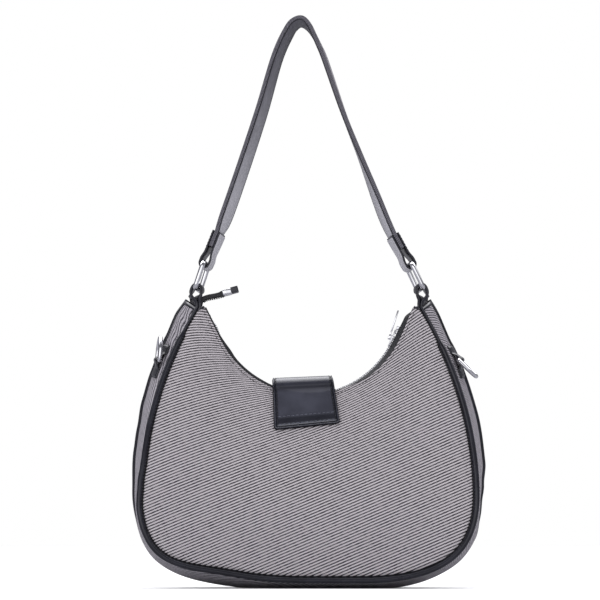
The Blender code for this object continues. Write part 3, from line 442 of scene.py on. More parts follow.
def backing_with_painted_shade(name, low, high):
    """Smooth strap backing, painted darker toward the top of the strap: painted shade where its face turns from the
    light.
    """
    graph = Graph(bpy.data.materials.new(name))
    height = graph.add(graph.split(graph.place())[2], graph.multiply(graph.noise(60.0, 2.0), 0.04))
    return graph.shade(Base_Color=graph.mix(graph.rise(height, 0.27, 0.46), low, high), Roughness=0.5)


# %% Finishes
TWILL = twill_finish("twill", (0.445, 0.415, 0.442), (0.020, 0.018, 0.023))
# Painted shade: the gusset's twill is the body's twill painted darker and with less contrast, for the shade on the
# bag's sides.
SIDE_TWILL_PAINTED_SHADE = twill_finish("side_twill", (0.36, 0.34, 0.375), (0.045, 0.042, 0.052))
FACE_TWILL = twill_finish("face_twill", (0.42, 0.40, 0.44), (0.045, 0.042, 0.052), seam=False)
# Painted shade: the strap's folded twill, seen at its edges, is the body's twill painted much darker, for the shade
# on the strap's edges.
STRAP_TWILL_PAINTED_SHADE = twill_finish("strap_twill", (0.15, 0.145, 0.17), (0.016, 0.015, 0.020), seam=False)
LEATHER = leather_finish("leather", (0.007, 0.007, 0.011), 0.23, specular=0.44)
# Painted light: the tab is the same black leather as the piping, loops and sleeves, painted lighter for the light
# on its broad face.
TAB_LEATHER_PAINTED_LIGHT = leather_finish("tab_leather", (0.026, 0.027, 0.038), 0.27, specular=0.5, grooved=True)
EDGE_PAINT = leather_finish("leather_edge", (0.010, 0.010, 0.013), 0.30, grain=0.1)
THREAD = leather_finish("thread", (0.006, 0.006, 0.009), 0.42, grain=0.6, scale=2500.0)
# Painted highlight: the thread across the tab's foot is the same dark thread painted lighter, for its glints.
TAB_THREAD_PAINTED_SHEEN = leather_finish("tab_thread", (0.060, 0.063, 0.085), 0.36, grain=0.6, scale=2500.0)
# Painted shade: the pale backing is painted darker toward the top of the strap, where its face turns from the
# light.
PALE_BACKING = backing_with_painted_shade("strap_backing", (0.34, 0.335, 0.37), (0.085, 0.083, 0.100))
METAL = metal_finish("polished_metal", (0.80, 0.80, 0.82), 0.09)
TEETH_METAL = metal_finish("teeth_metal", (0.46, 0.46, 0.49), 0.28)
TAPE = cloth_finish("zip_tape", (0.010, 0.010, 0.012), (0.026, 0.026, 0.030), 5200.0)
LINING = cloth_finish("lining", (0.018, 0.018, 0.021), (0.034, 0.034, 0.040), 3500.0)
BOARD = leather_finish("board", (0.09, 0.08, 0.07), 0.8, grain=0.4, scale=400.0)
print("finishes", len(bpy.data.materials))


# %% Dressing a piece
def dress(item, material, *nodes, slot=None, body="root"):
    """Gives a finished piece its material and its body, and hides the frame nodes that it stands for."""
    item.data.materials.clear()
    item.data.materials.append(material)
    if body:
        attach(item, body)
    if nodes:
        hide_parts(*nodes)


# %% [markdown]
# ## The body's seams
# Each panel is cut to one outline: flat under the base, round at the belly and drawn in to the corner. The
# crescent of the mouth is an arc with a straight leg up to each corner. These lines could be curve objects
# drawn by hand, but formulas keep them tied to the driving sizes, and everything else on the body is placed
# between them.


# %% Seam lines
def shift_at(pairs, z):
    """The outward shift in metres at a height, from (height, shift) pairs in mm."""
    out = pairs[-1][1]
    for (z0, d0), (z1, d1) in zip(pairs, pairs[1:]):
        if z0 <= z * 1000.0 <= z1:
            out = mix(d0, d1, smoothstep((z * 1000.0 - z0) / (z1 - z0)))
    return out * MM


def spread(x, z):
    """Moves a point of the front seam out to where the filled bag carries it."""
    side = -1 if x < 0.0 else 1
    out = shift_at(FRONT_SPREAD[side], z) * smoothstep((abs(x) - 0.03) / 0.06)
    return x + side * out, z + FRONT_CORNER_LIFT * smoothstep((z - 0.195) / 0.028)


def spread_back(x, z):
    """Moves a point of the back seam at the lower left."""
    out = shift_at(BACK_SPREAD, z) * smoothstep((-x - 0.03) / 0.06)
    lift = BACK_LIFT * bump((x - BACK_LIFT_X) / BACK_LIFT_REACH) * (1.0 - smoothstep((z - 0.012) / 0.030))
    return x - out, z + lift


def seam_outline(side):
    half_width, base_z = HALF_WIDTH[side], BASE_Z[side]
    corner_x, corner_z = CORNER[side]
    flat_end = (BASE_FLAT_HALF, base_z)
    widest = (half_width, WIDEST_Z)
    base_handle = (BASE_FLAT_HALF + BASE_REACH, base_z)
    belly_handle = (half_width, WIDEST_Z - BELLY_DROP)
    rise_handle = (half_width, WIDEST_Z + BELLY_RISE)
    shoulder = (corner_x + SHOULDER_PULL * math.sin(SHOULDER_LEAN),
                corner_z - SHOULDER_PULL * math.cos(SHOULDER_LEAN))
    half = [(0.0, base_z)]
    half += [bezier(flat_end, base_handle, belly_handle, widest, k / CURVE_STEPS) for k in range(CURVE_STEPS)]
    half += [bezier(widest, rise_handle, shoulder, CORNER[side], k / CURVE_STEPS) for k in range(CURVE_STEPS + 1)]
    line = resample([(-x, z) for x, z in reversed(half[1:])] + half, STEPS)
    return [spread(x, z) if side > 0 else spread_back(x, z) for x, z in line]


def lower_arc(centre, radius):
    result = []
    for k in range(97):
        angle = mix(-MOUTH_ARC_HALF, MOUTH_ARC_HALF, k / 96)
        result.append((centre[0] + radius * math.sin(angle), centre[1] - radius * math.cos(angle)))
    return result


def mouth_outline(count):
    arc = lower_arc((0.0, MOUTH_CENTRE_Z), MOUTH_RADIUS)
    return resample([(-MOUTH_END_X, MOUTH_END_Z), *arc, (MOUTH_END_X, MOUTH_END_Z)], count)


def chain_outline(count):
    arc = lower_arc(ZIP_CENTRE, ZIP_RADIUS)
    mouth_x, mouth_z = lower_arc((0.0, MOUTH_CENTRE_Z), MOUTH_RADIUS)[-1]
    leg = (MOUTH_END_X - mouth_x) * (MOUTH_END_Z - arc[-1][1]) / (MOUTH_END_Z - mouth_z)
    return resample([(arc[0][0] - leg, MOUTH_END_Z), *arc, (arc[-1][0] + leg, MOUTH_END_Z)], count)


SEAM = {side: seam_outline(side) for side in (-1, 1)}
INWARD = {side: normals_2d(SEAM[side]) for side in (-1, 1)}
MOUTH = mouth_outline(STEPS)
MOUTH_OUT = normals_2d(MOUTH, -1.0)


def mouth_ease(x):
    """The cloth's edge hangs a little lower on the right, where the open zip shows."""
    return 1.3 * MM * smoothstep((x - 0.030) / 0.02) * (1.0 - smoothstep((x - 0.070) / 0.012))


def half_depth(z):
    t = (z - TAPER_START_Z) / (CORNER[-1][1] - TAPER_START_Z)
    return mix(BASE_HALF_DEPTH, CORNER_HALF_DEPTH, smoothstep(t))


def seam_point(side, index):
    x, z = SEAM[side][index]
    return Vector((x, side * half_depth(z), z))


def inward(side, index):
    nx, nz = INWARD[side][index]
    return Vector((nx, 0.0, nz))


def piping_radius(side, index):
    """Full round the base and the belly, thin where it is flattened toward the corners."""
    x, z = SEAM[side][index]
    start = 0.196 if x < 0.0 else 0.189
    slim = 1.15 if side < 0 else 1.9
    return mix(2.3, slim, smoothstep((z - start) / (7.0 * MM))) * MM


def seam_gap(side, index):
    """Distance from the middle of the piping to the edge of the cloth beside it."""
    return piping_radius(side, index) + 0.45 * MM


def panel_point(side, index, v, offset):
    """A point of a panel: v runs from the mouth to the piping, offset goes outward."""
    edge = seam_point(side, index) + inward(side, index) * seam_gap(side, index)
    mouth_x, mouth_z = MOUTH[index]
    mouth_x += MOUTH_OUT[index][0] * mouth_ease(mouth_x)
    mouth_z += MOUTH_OUT[index][1] * mouth_ease(mouth_x)
    along = max(math.sin(math.pi * index / STEPS), 0.0)
    depth = mix(MOUTH_HALF_GAP, abs(edge.y), math.sin(math.pi * v / 2))
    depth += PANEL_BELLY * math.sin(math.pi * v) * math.sqrt(along)
    return Vector((mix(mouth_x, edge.x, v), side * (depth + offset), mix(mouth_z, edge.z, v)))


def gusset_point(index, w, offset):
    back, front = seam_point(-1, index), seam_point(1, index)
    out = -(inward(-1, index) + inward(1, index)).normalized()
    y = mix(back.y + seam_gap(-1, index), front.y - seam_gap(1, index), w)
    tuck = mix(0.0, 1.2 * MM, smoothstep(back.z / WIDEST_Z))
    bulge = mix(0.0052, 0.0020, smoothstep(back.z / WIDEST_Z)) * max(math.sin(math.pi * w), 0.0) - tuck
    point = Vector((mix(back.x, front.x, w), y, mix(back.z, front.z, w))) + out * bulge
    point.z = max(point.z, HALF_SHEET)
    return point + out * offset


print("seam", [round(v, 4) for v in SEAM[-1][0]], [round(v, 4) for v in SEAM[-1][STEPS // 2]])

# %% [markdown]
# ## Back and front panels
# Each panel is a sheet of twill, turned in along the mouth and stitched, and sewn into the piping all round. A
# flat pattern could be inflated, but a half wave of depth from mouth to seam gives the same belly and keeps the
# seams exact. The ribs rise to the right and are drawn out of line round the mouth, where the cloth is pulled
# to its curve: `rib_field` gives how many ribs lie below a point.


# %% Panels
RIB_PITCH = 2.36 * MM
# The ribs' direction: across them a step up counts this much and a step to the right takes this much away
RIB_UP, RIB_ALONG = 0.975, 0.4155
HEM_WIDTH = 3.0 * MM
HEM_STITCH = 2.3 * MM


def rib_field(x, z):
    """How many ribs lie below a point: straight ribs, drawn round near the mouth."""
    outside = (math.hypot(x, z - MOUTH_CENTRE_Z) - MOUTH_RADIUS) * 1000.0
    turn = math.atan2(x, MOUTH_CENTRE_Z - z)
    near = 15.0 * math.exp(-max(outside, -4.0) / 15.0)
    far = 45.0 * math.exp(-max(outside, -4.0) / 45.0)
    pull = near * (0.319 - 0.017 * math.sin(turn) + 0.178 * math.cos(turn) - 0.086 * math.sin(2.0 * turn))
    pull += far * (0.195 - 0.178 * math.sin(turn) - 0.004 * math.cos(turn) + 0.055 * math.sin(2.0 * turn))
    return (RIB_UP * z - RIB_ALONG * x + pull * MM) / RIB_PITCH


def panel_rows():
    """Shares from mouth to piping, close together at both edges."""
    inner = [0.0, 0.004, 0.010, 0.016, 0.022, 0.030]
    middle = [mix(0.03, 0.965, k / 44) for k in range(1, 45)]
    return inner + middle + [0.975, 0.983, 0.990, 0.996, 1.0]


def build_panel(side, word):
    shares = panel_rows()
    outer, inner, weave, edge = [], [], [], []
    for i in range(STEPS + 1):
        span = (panel_point(side, i, 0.0, 0.0) - panel_point(side, i, 1.0, 0.0)).length
        outer_row, inner_row = [], []
        for v in shares:
            from_mouth, to_piping = v * span, (1.0 - v) * span
            hem = 0.45 * MM * (1.0 - smoothstep((from_mouth - HEM_WIDTH) / (0.5 * MM)))
            hem -= 0.55 * MM * bump((from_mouth - HEM_STITCH) / (0.5 * MM))
            hem -= 0.35 * MM * bump(from_mouth / (0.5 * MM))
            dive = -1.5 * MM * (1.0 - smoothstep(to_piping / (2.6 * MM)))
            point = panel_point(side, i, v, HALF_SHEET)
            wave = 0.35 * MM * math.sin(point.x * 61.0 + 1.3) * math.sin(point.z * 83.0) * math.sin(math.pi * v)
            point.y += side * (hem + dive + wave)
            outer_row.append(point)
            inner_row.append(panel_point(side, i, v, -HALF_SHEET) + Y_AXIS * (side * (dive + wave)))
            x = -side * point.x
            weave.append(((RIB_ALONG * point.z + RIB_UP * x) / RIB_PITCH, rib_field(x, point.z)))
            edge.append((to_piping * 1000.0, 0.0))
        outer.append(outer_row)
        inner.append(inner_row)
    return skin(word + "_panel_cloth", outer, inner, {"weave": weave, "edge": edge})


PANELS = {side: build_panel(side, word) for side, word in FACES}
for side, word in FACES:
    dress(PANELS[side], TWILL, word + "_panel", slot="twill")
print("panel faces", len(PANELS[-1].data.polygons))

# %% [markdown]
# ## Gusset
# One long strip of the same twill joins the two panels, from one corner down round the base and up to the
# other. It could be lofted between two curves. Rows of points between the two seams do the same and let it
# bulge a little. It is cut across the ribs' line, so on the left they run almost along it and on the right they
# slant.


# %% Gusset
def gusset_row(step, columns, offset):
    """A row across the gusset, which stops short of the corners, where the leather loops go in."""
    cut = 1.0 * MM / math.dist(SEAM[-1][0], SEAM[-1][1])
    place = min(max(float(step), cut), STEPS - cut)
    index = min(int(place), STEPS - 1)
    return [gusset_point(index, w, offset).lerp(gusset_point(index + 1, w, offset), place - index) for w in columns]


def build_gusset():
    columns = [0.0, 0.02, 0.05, 0.09] + [mix(0.13, 0.87, k / 18) for k in range(19)] + [0.91, 0.95, 0.98, 1.0]
    outer, inner, weave, edge = [], [], [], []
    run = phase = 0.0
    previous = None
    for i in range(STEPS + 1):
        outer_row = gusset_row(i, columns, HALF_SHEET)
        inner_row = gusset_row(i, columns, -HALF_SHEET)
        middle = outer_row[len(columns) // 2]
        step = (middle - previous).length if previous else 0.0
        previous = middle
        turned = smoothstep((i / STEPS - 0.35) / 0.3)
        run += step
        phase += mix(0.05, 0.43, turned) * step * 1000.0
        top = smoothstep(1.0 - i / STEPS / 0.16)
        width = (outer_row[-1] - outer_row[0]).length
        for w, point in zip(columns, outer_row):
            across = (w - 0.5) * width * 1000.0
            ripple = top * 0.30 * math.sin(run * 420.0 + w * 9.0)
            weave.append(((run + across * 0.6 * MM) / RIB_PITCH, phase + across * mix(0.27, 0.13, turned) + ripple))
            edge.append((min(w, 1.0 - w) * width * 1000.0 * 0.5, 0.0))
        outer.append(outer_row)
        inner.append(inner_row)
    return skin("gusset_cloth", outer, inner, {"weave": weave, "edge": edge})


GUSSET = build_gusset()
dress(GUSSET, SIDE_TWILL_PAINTED_SHADE, "gusset", slot="twill")
print("gusset faces", len(GUSSET.data.polygons))

# %% [markdown]
# ## Piping
# A cord wrapped in leather is sewn into each seam. It is full round the base and the belly and thin toward the
# corners, where it is flattened under the turned-in mouth. A curve with a round bevel would do for an even
# cord. A tube of rings is used, because each ring has its own radius. Beside it a narrow strip of black leather
# lies in the bottom of the seam: a dark sheet that stands in for the shade in the seam's groove.


# %% Tubes
def ring_faces(base, size, count):
    """Faces of a capped body whose points are count rings of the same size."""
    faces = []
    for row in range(count - 1):
        for k in range(size):
            a, b = base + row * size + k, base + row * size + (k + 1) % size
            faces.append((a, b, b + size, a + size))
    for row in (0, count - 1):
        faces.append(tuple(base + row * size + k for k in range(size)))
    return faces


def sweep(name, rings, uvs=None):
    """A capped body through rings of points."""
    return make_mesh(name, [p for ring in rings for p in ring], ring_faces(0, len(rings[0]), len(rings)), uvs)


def tube_rings(points, radii, sides):
    """Rings of a tube whose radius changes along it."""
    rings = []
    for index, (point, radius) in enumerate(zip(points, radii)):
        along = (points[min(index + 1, len(points) - 1)] - points[max(index - 1, 0)]).normalized()
        first = along.cross(Y_AXIS).normalized()
        second = along.cross(first)
        rings.append([point + (first * math.cos(t) + second * math.sin(t)) * radius
                      for t in (math.tau * k / sides for k in range(sides))])
    return rings


def join_parts(name, parts):
    """Several objects made into one piece."""
    bpy.ops.object.select_all(action="DESELECT")
    for part in parts:
        part.select_set(True)
    bpy.context.view_layer.objects.active = parts[0]
    bpy.ops.object.join()
    item = bpy.context.view_layer.objects.active
    item.name = item.data.name = name
    return item


# %% Piping
def build_piping(side, word):
    rows = range(STEPS + 1)
    points = [seam_point(side, i) for i in rows]
    radii = [piping_radius(side, i) for i in rows]
    tube = sweep("piping_tube", tube_rings(points, radii, 16))
    # Painted shade: a narrow black leather strip lies in the bottom of the seam beside the tube, standing in for
    # the shade in the seam's groove.
    low, high = [], []
    for i in rows:
        toward = inward(side, i)
        out = Vector((0.0, float(side), 0.0))
        near = seam_point(side, i) + toward * (radii[i] * 0.6)
        far = seam_point(side, i) + toward * (seam_gap(side, i) + 0.6 * MM)
        high.append([near - out * 0.9 * MM, far - out * 1.3 * MM])
        low.append([near - out * 1.4 * MM, far - out * 1.8 * MM])
    seam_shade_strip = skin("piping_seam_shade_strip", high, low)
    return join_parts(word + "_piping_cord", [tube, seam_shade_strip])


for side, word in FACES:
    dress(build_piping(side, word), LEATHER, word + "_piping", slot="leather")
    print(word, "piping radius at the corner", round(piping_radius(side, 0), 5))

# %% [markdown]
# ## Lining and base board
# A loose black bag hangs from the zip tapes inside the body, and a stiff board lies between it and the base.
# The bag could be the panels' copies moved inward, but it has to close round the bottom too, so each of its
# rows runs down one side, across and up the other. The board keeps its hard-model shape with a fibre finish.


# %% Lining and base board
def lining_row(index, room, extra):
    inset = HALF_SHEET + 1.5 * MM + extra
    corner = SEAM_OFFSET + 0.6 * MM + extra
    rows = {}
    for side in (-1, 1):
        mouth_x, mouth_z = MOUTH[index]
        edge = seam_point(side, index) + inward(side, index) * SEAM_OFFSET
        start = min(6.0 * MM / math.dist((mouth_x, mouth_z), (edge.x, edge.z)), 0.47)
        rows[side] = [panel_point(side, index, mix(start, 0.94, k / 10), -inset) for k in range(11)]
        turn = seam_point(side, index) + inward(side, index) * corner
        turn.y -= side * corner
        rows[side].append(turn)
    across = [gusset_point(index, w, -room - extra) for w in (0.2, 0.35, 0.5, 0.65, 0.8)]
    row = rows[-1] + across + list(reversed(rows[1]))
    for k, point in enumerate(row):
        if 3 < k < len(row) - 4:
            point += inward(-1, index) * (0.8 * MM * (1.0 + math.sin(index * 0.31 + k)))
    return row


board_low, board_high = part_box("base_board")
board_room = board_high[2] + GAP - HALF_SHEET
span = range(8, STEPS - 7, 2)
lining = skin("lining_bag", [lining_row(i, board_room, 0.0) for i in span],
              [lining_row(i, board_room, 0.6 * MM) for i in span])
dress(lining, LINING, "lining", slot="lining")
board = frame["nodes"]["base_board"]
board.data.materials.clear()
board.data.materials.append(BOARD)
print("lining faces", len(lining.data.polygons))

# %% [markdown]
# ## Rounded blocks
# Stops, teeth, slider and cap are small castings. They could be carved from a subdivided cube, but at this size
# a cube with bevelled edges is enough, and it stays light. A block is made at the origin on its own axes, and a
# matrix of three axes and an origin then takes it to its place.


# %% Rounded blocks
def bevel_edges(offset, segments):
    """Rounds every edge of the active object."""
    bpy.ops.object.mode_set(mode="EDIT")
    bpy.ops.mesh.select_all(action="SELECT")
    bpy.ops.mesh.bevel(offset=offset, segments=segments, affect="EDGES")
    bpy.ops.object.mode_set(mode="OBJECT")


def bevelled_block(size, offset, segments=2, centre=(0.0, 0.0, 0.0)):
    """A block with rounded edges. Sizes are in mm."""
    bpy.ops.mesh.primitive_cube_add(size=1.0)
    block = bpy.context.object
    block.scale = [v * MM for v in size]
    bpy.ops.object.transform_apply(location=False, rotation=False, scale=True)
    bevel_edges(offset * MM, segments)
    block.data.transform(Matrix.Translation([v * MM for v in centre]))
    return block


def axes_matrix(x_axis, y_axis, z_axis, origin):
    """The matrix that takes a piece from its own axes to its place."""
    matrix = Matrix.Identity(4)
    for column, axis in enumerate((x_axis, y_axis, z_axis, origin)):
        matrix.col[column][:3] = axis
    return matrix


def settle(item, name, matrix, angle=40.0):
    """Names the active hard piece, moves it to its place and smooths its shading."""
    item.name = name
    item.data.transform(matrix)
    bpy.ops.object.shade_smooth_by_angle(angle=math.radians(angle))
    return item

# %% [markdown]
# ## Zip tapes and chain
# Two black tapes are sewn inside the mouth, and a metal tooth is clamped to them every 3.1 mm, the two rows
# half a step apart so that they mesh. An array along a curve would lean at the bends, so one tooth is modelled
# and each copy is placed by its distance along the chain. The chain sits low on the left and in the middle,
# hidden by the turned-in edge, and proud on the right, where its teeth show.


# %% Zip
CHAIN = chain_outline(LINE_STEPS)
CHAIN_IN = normals_2d(CHAIN)
MOUTH_LINE = mouth_outline(LINE_STEPS)
TAPE_LINES = {"chain": (CHAIN, CHAIN_IN), "mouth": (MOUTH_LINE, normals_2d(MOUTH_LINE))}
# Points across a tape: distance from the bag's middle in mm, the line that it follows and its rise over it in mm
TAPE_SECTION = ((1.1, "chain", -0.45), (2.4, "chain", -0.75), (4.2, "chain", -0.9), (5.4, "chain", -1.45),
                (9.1, "mouth", -1.6))
CHAIN_LENGTH = sum(math.dist(a, b) for a, b in zip(CHAIN, CHAIN[1:]))
SLIDER_ANGLE = math.radians(66.0)
SLIDER_LENGTH = 14.0 * MM
SLIDER_END = CHAIN_LENGTH / 2 + ZIP_RADIUS * SLIDER_ANGLE + SLIDER_LENGTH / 2
TOOTH_PITCH = 3.1 * MM


def line_point(points, normals, distance, rise):
    place = distance / CHAIN_LENGTH * LINE_STEPS
    x, z = at(points, place)
    nx, nz = at(normals, place)
    return Vector((x + nx * rise, 0.0, z + nz * rise))


def build_tape(side, name):
    outer, inner = [], []
    count = 150
    for k in range(count + 1):
        distance = mix(0.4 * TAPE_END_SETBACK, CHAIN_LENGTH - 0.4 * TAPE_END_SETBACK, k / count)
        tuck = 3.4 * (1.0 - smoothstep(min(distance, CHAIN_LENGTH - distance) / (9.0 * MM)))
        for rows, lift in ((outer, 0.3 * MM), (inner, -0.3 * MM)):
            rows.append([line_point(*TAPE_LINES[line], distance, (rise - tuck) * MM + lift)
                         + Y_AXIS * (side * y * MM) for y, line, rise in TAPE_SECTION])
    return skin(name, outer, inner)


def chain_point(distance):
    """A point of the chain, which keeps to the slider's circle where its straight legs begin."""
    beyond = max(abs(distance - CHAIN_LENGTH / 2) - ZIP_RADIUS * MOUTH_ARC_HALF, 0.0)
    rise = beyond ** 2 / (2 * ZIP_RADIUS) * (1.0 - smoothstep((beyond - 10.0 * MM) / (9.0 * MM)))
    return line_point(CHAIN, CHAIN_IN, distance, rise)


def chain_matrix(distance, y):
    """Local X along the chain, Y across the bag, Z out of the mouth."""
    along = chain_point(min(distance + MM, CHAIN_LENGTH)) - chain_point(max(distance - MM, 0.0))
    along.normalize()
    return axes_matrix(along, Y_AXIS, along.cross(Y_AXIS), chain_point(distance) + Y_AXIS * y)


def build_teeth(side, name):
    """A row of clamped teeth, from the bottom stop to the slider."""
    tooth = bevelled_block((1.05, 3.0, 2.5), 0.32, 1)
    copies = []
    distance = TAPE_END_SETBACK + 5.0 * MM + (0.0 if side < 0 else TOOTH_PITCH / 2)
    while distance < SLIDER_END - 4.5 * MM:
        copy = tooth.copy()
        copy.data = tooth.data.copy()
        bpy.context.scene.collection.objects.link(copy)
        copy.data.transform(chain_matrix(distance, side * 1.05 * MM))
        copies.append(copy)
        distance += TOOTH_PITCH
    bpy.data.objects.remove(tooth)
    print("teeth", side, len(copies))
    return join_parts(name, copies)


def build_stop(name, distance, width, y):
    stop = bevelled_block((3.0, width, 2.4), 0.5, 3)
    settle(stop, name, chain_matrix(distance, y))
    dress(stop, METAL, "zip_" + name, slot="polished_metal")


for side, word in FACES:
    dress(build_tape(side, "tape_" + word), TAPE, "zip_tape_" + word, slot="zip_tape")
    teeth = build_teeth(side, "teeth_" + word)
    dress(teeth, TEETH_METAL, "zip_teeth_" + word, slot="polished_metal")
    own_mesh(teeth)
    build_stop("top_stop_" + word, SLIDER_END + 2.1 * MM, 2.3, side * 1.35 * MM)
build_stop("bottom_stop", TAPE_END_SETBACK + 1.5 * MM, 5.1, 0.0)

# %% [markdown]
# ## Slider and puller
# The slider is two rounded plates with turned-in sides, joined by a post at its front, with a bridge on top
# that holds the puller's eye. The puller is a pierced plate that lies back along the chain. Its window is cut
# with a Boolean, because a hole through a rounded plate is slow to draw point by point.


# %% Slider and puller
def joint_place(name):
    return Vector(next(joint for joint in frame["joints"] if joint["name"] == name)["pos_m"])


up = Vector((-math.sin(SLIDER_ANGLE), 0.0, math.cos(SLIDER_ANGLE)))
origin = Vector((ZIP_CENTRE[0], 0.0, ZIP_CENTRE[1])) - up * ZIP_RADIUS
SLIDER_PLACE = axes_matrix(Y_AXIS.cross(up), Y_AXIS, up, origin)
PIN_HEIGHT = (joint_place("puller_swing") - SLIDER_PLACE.translation).dot(up)
parts = [bevelled_block((14.0, 8.2, 0.7), 0.3, 3, (0.0, 0.0, 1.72)),
         bevelled_block((14.0, 8.2, 0.7), 0.3, 3, (0.0, 0.0, -1.76)),
         bevelled_block((3.0, 0.9, 3.4), 0.25, 2, (5.5, 0.0, 0.0))]
for side in (-1, 1):
    parts.append(bevelled_block((13.4, 0.9, 1.0), 0.3, 2, (0.0, side * 3.6, 1.25)))
    parts.append(bevelled_block((4.0, 1.1, 2.9), 0.4, 2, (0.0, side * 1.9, 3.1)))
bpy.ops.mesh.primitive_cylinder_add(vertices=12, radius=0.5 * MM, depth=4.4 * MM)
pin = bpy.context.object
pin.data.transform(Matrix.Translation((0.0, 0.0, PIN_HEIGHT)) @ Matrix.Rotation(-math.radians(90.0), 4, "X"))
slider = settle(join_parts("slider", [*parts, pin]), "slider", SLIDER_PLACE)
dress(slider, METAL, "zip_slider", slot="polished_metal", body="zip_slider")


def build_puller():
    """A plate with a window and rounded ends, and an eye round the slider's pin."""
    plate = bevelled_block((17.0, 7.6, 1.2), 0.4, 2, (13.5, 0.0, 0.0))
    window = bevelled_block((10.5, 4.2, 4.0), 0.8, 3, (14.2, 0.0, 0.0))
    cut = plate.modifiers.new("window", "BOOLEAN")
    cut.object = window
    cut.operation = "DIFFERENCE"
    bpy.context.view_layer.objects.active = plate
    bpy.ops.object.modifier_apply(modifier="window")
    bpy.data.objects.remove(window)
    stem = bevelled_block((4.3, 1.7, 1.1), 0.35, 2, (3.3, 0.0, 0.0))
    bpy.ops.mesh.primitive_torus_add(major_radius=0.98 * MM, minor_radius=0.36 * MM, major_segments=20,
                                     minor_segments=8, rotation=(math.radians(90.0), 0.0, 0.0))
    eye = bpy.context.object
    bpy.ops.object.transform_apply(location=False, rotation=True, scale=False)
    return join_parts("puller", [plate, stem, eye])


hang = Matrix.Translation((0.0, 0.0, PIN_HEIGHT)) @ Matrix.Rotation(-math.radians(6.0), 4, "Y")
puller = settle(build_puller(), "puller", SLIDER_PLACE @ hang)
dress(puller, METAL, "zip_puller", slot="polished_metal", body="zip_puller")
print("pin height over the chain", round(PIN_HEIGHT, 5))

# %% [markdown]
# ## Zip tail
# Past the left corner the closed end of the zip curls up out of the bag: a doubled tape with a comb of small
# teeth under it, and a bright metal cap with a dark plug at its end. A lattice could bend a straight tail. It
# is easier to sweep the tape along its curled line and to set each tooth on that line.


# %% Zip tail
def round_section(half_a, half_b, radius, steps=3):
    """A rectangle with rounded corners, as (a, b) pairs."""
    result = []
    for sa, sb, start in ((1, 1, 0), (-1, 1, 90), (-1, -1, 180), (1, -1, 270)):
        for k in range(steps + 1):
            angle = math.radians(start + 90.0 * k / steps)
            result.append((sa * (half_a - radius) + radius * math.cos(angle),
                           sb * (half_b - radius) + radius * math.sin(angle)))
    return result


TAIL_STEPS = 60
TAIL_POINTS = ((-86.0, 216.5), (-86.4, 223.6), (-84.9, 228.0), (-80.4, 230.0), (-73.8, 231.3), (-67.6, 233.0))
TAIL = resample(smooth_path([(x * MM, z * MM) for x, z in TAIL_POINTS], 10), TAIL_STEPS)
TAIL_UP = normals_2d(TAIL)
rings = []
for index, ((x, z), (nx, nz)) in enumerate(zip(TAIL, TAIL_UP)):
    share = index / TAIL_STEPS
    thick = mix(1.3, 1.6, smoothstep(share / 0.4)) * MM + 0.6 * MM * smoothstep((share - 0.86) / 0.1)
    rings.append([Vector((x + nx * b, a, z + nz * b)) for a, b in round_section(5.4 * MM, thick, 0.6 * MM, 2)])
parts = [sweep("tail_tape", rings)]
for k in range(11):
    place = mix(24.0, 57.0, k / 10)
    (x, z), (nx, nz) = at(TAIL, place), at(TAIL_UP, place)
    up = Vector((nx, 0.0, nz))
    comb = bevelled_block((1.15, 9.6, 1.5), 0.3, 1)
    comb.data.transform(axes_matrix(Y_AXIS.cross(up), Y_AXIS, up, Vector((x, 0.0, z)) - up * 1.9 * MM))
    parts.append(comb)
dress(join_parts("tail_tape", parts), TAPE, "zip_tail", slot="zip_tape")

along = Vector((math.cos(math.radians(15.0)), 0.0, math.sin(math.radians(15.0))))
TAIL_END = axes_matrix(along, Y_AXIS, along.cross(Y_AXIS), Vector((TAIL[-1][0], 0.0, TAIL[-1][1])))
cap = settle(bevelled_block((7.4, 13.0, 4.4), 0.8, 3, (2.6, 0.0, 0.1)), "tail_cap", TAIL_END)
dress(cap, METAL, "zip_tail_cap", slot="polished_metal")
plug = settle(bevelled_block((6.0, 12.0, 4.9), 0.7, 3, (8.8, 0.0, 0.5)), "tail_plug", TAIL_END)
dress(plug, EDGE_PAINT)
print("parts of the tail", len(parts))

# %% [markdown]
# ## Strap rings and D-rings
# These are bent wire rings. A curve with a bevel could stand for one. Here a circle is extruded along each
# straight bar and spun round each corner until it closes, as the wire itself is bent. The two oblong rings lean
# in with the strap. The left D-ring stands up against the side and the right one hangs open.


# %% Wire rings
def ring_bar(side):
    return Vector((side * (CORNER[-1][0] + GAP), 0.0, CORNER[-1][1] + 15.0 * MM))


def ring_axes(side):
    up = Vector((-side * math.sin(RING_LEAN[side]), 0.0, math.cos(RING_LEAN[side])))
    bar = Vector((-side * math.sin(RING_YAW), math.cos(RING_YAW), 0.0))
    return up, bar


def ring_top(side):
    return ring_bar(side) + ring_axes(side)[0] * RING_BAR_SPACING


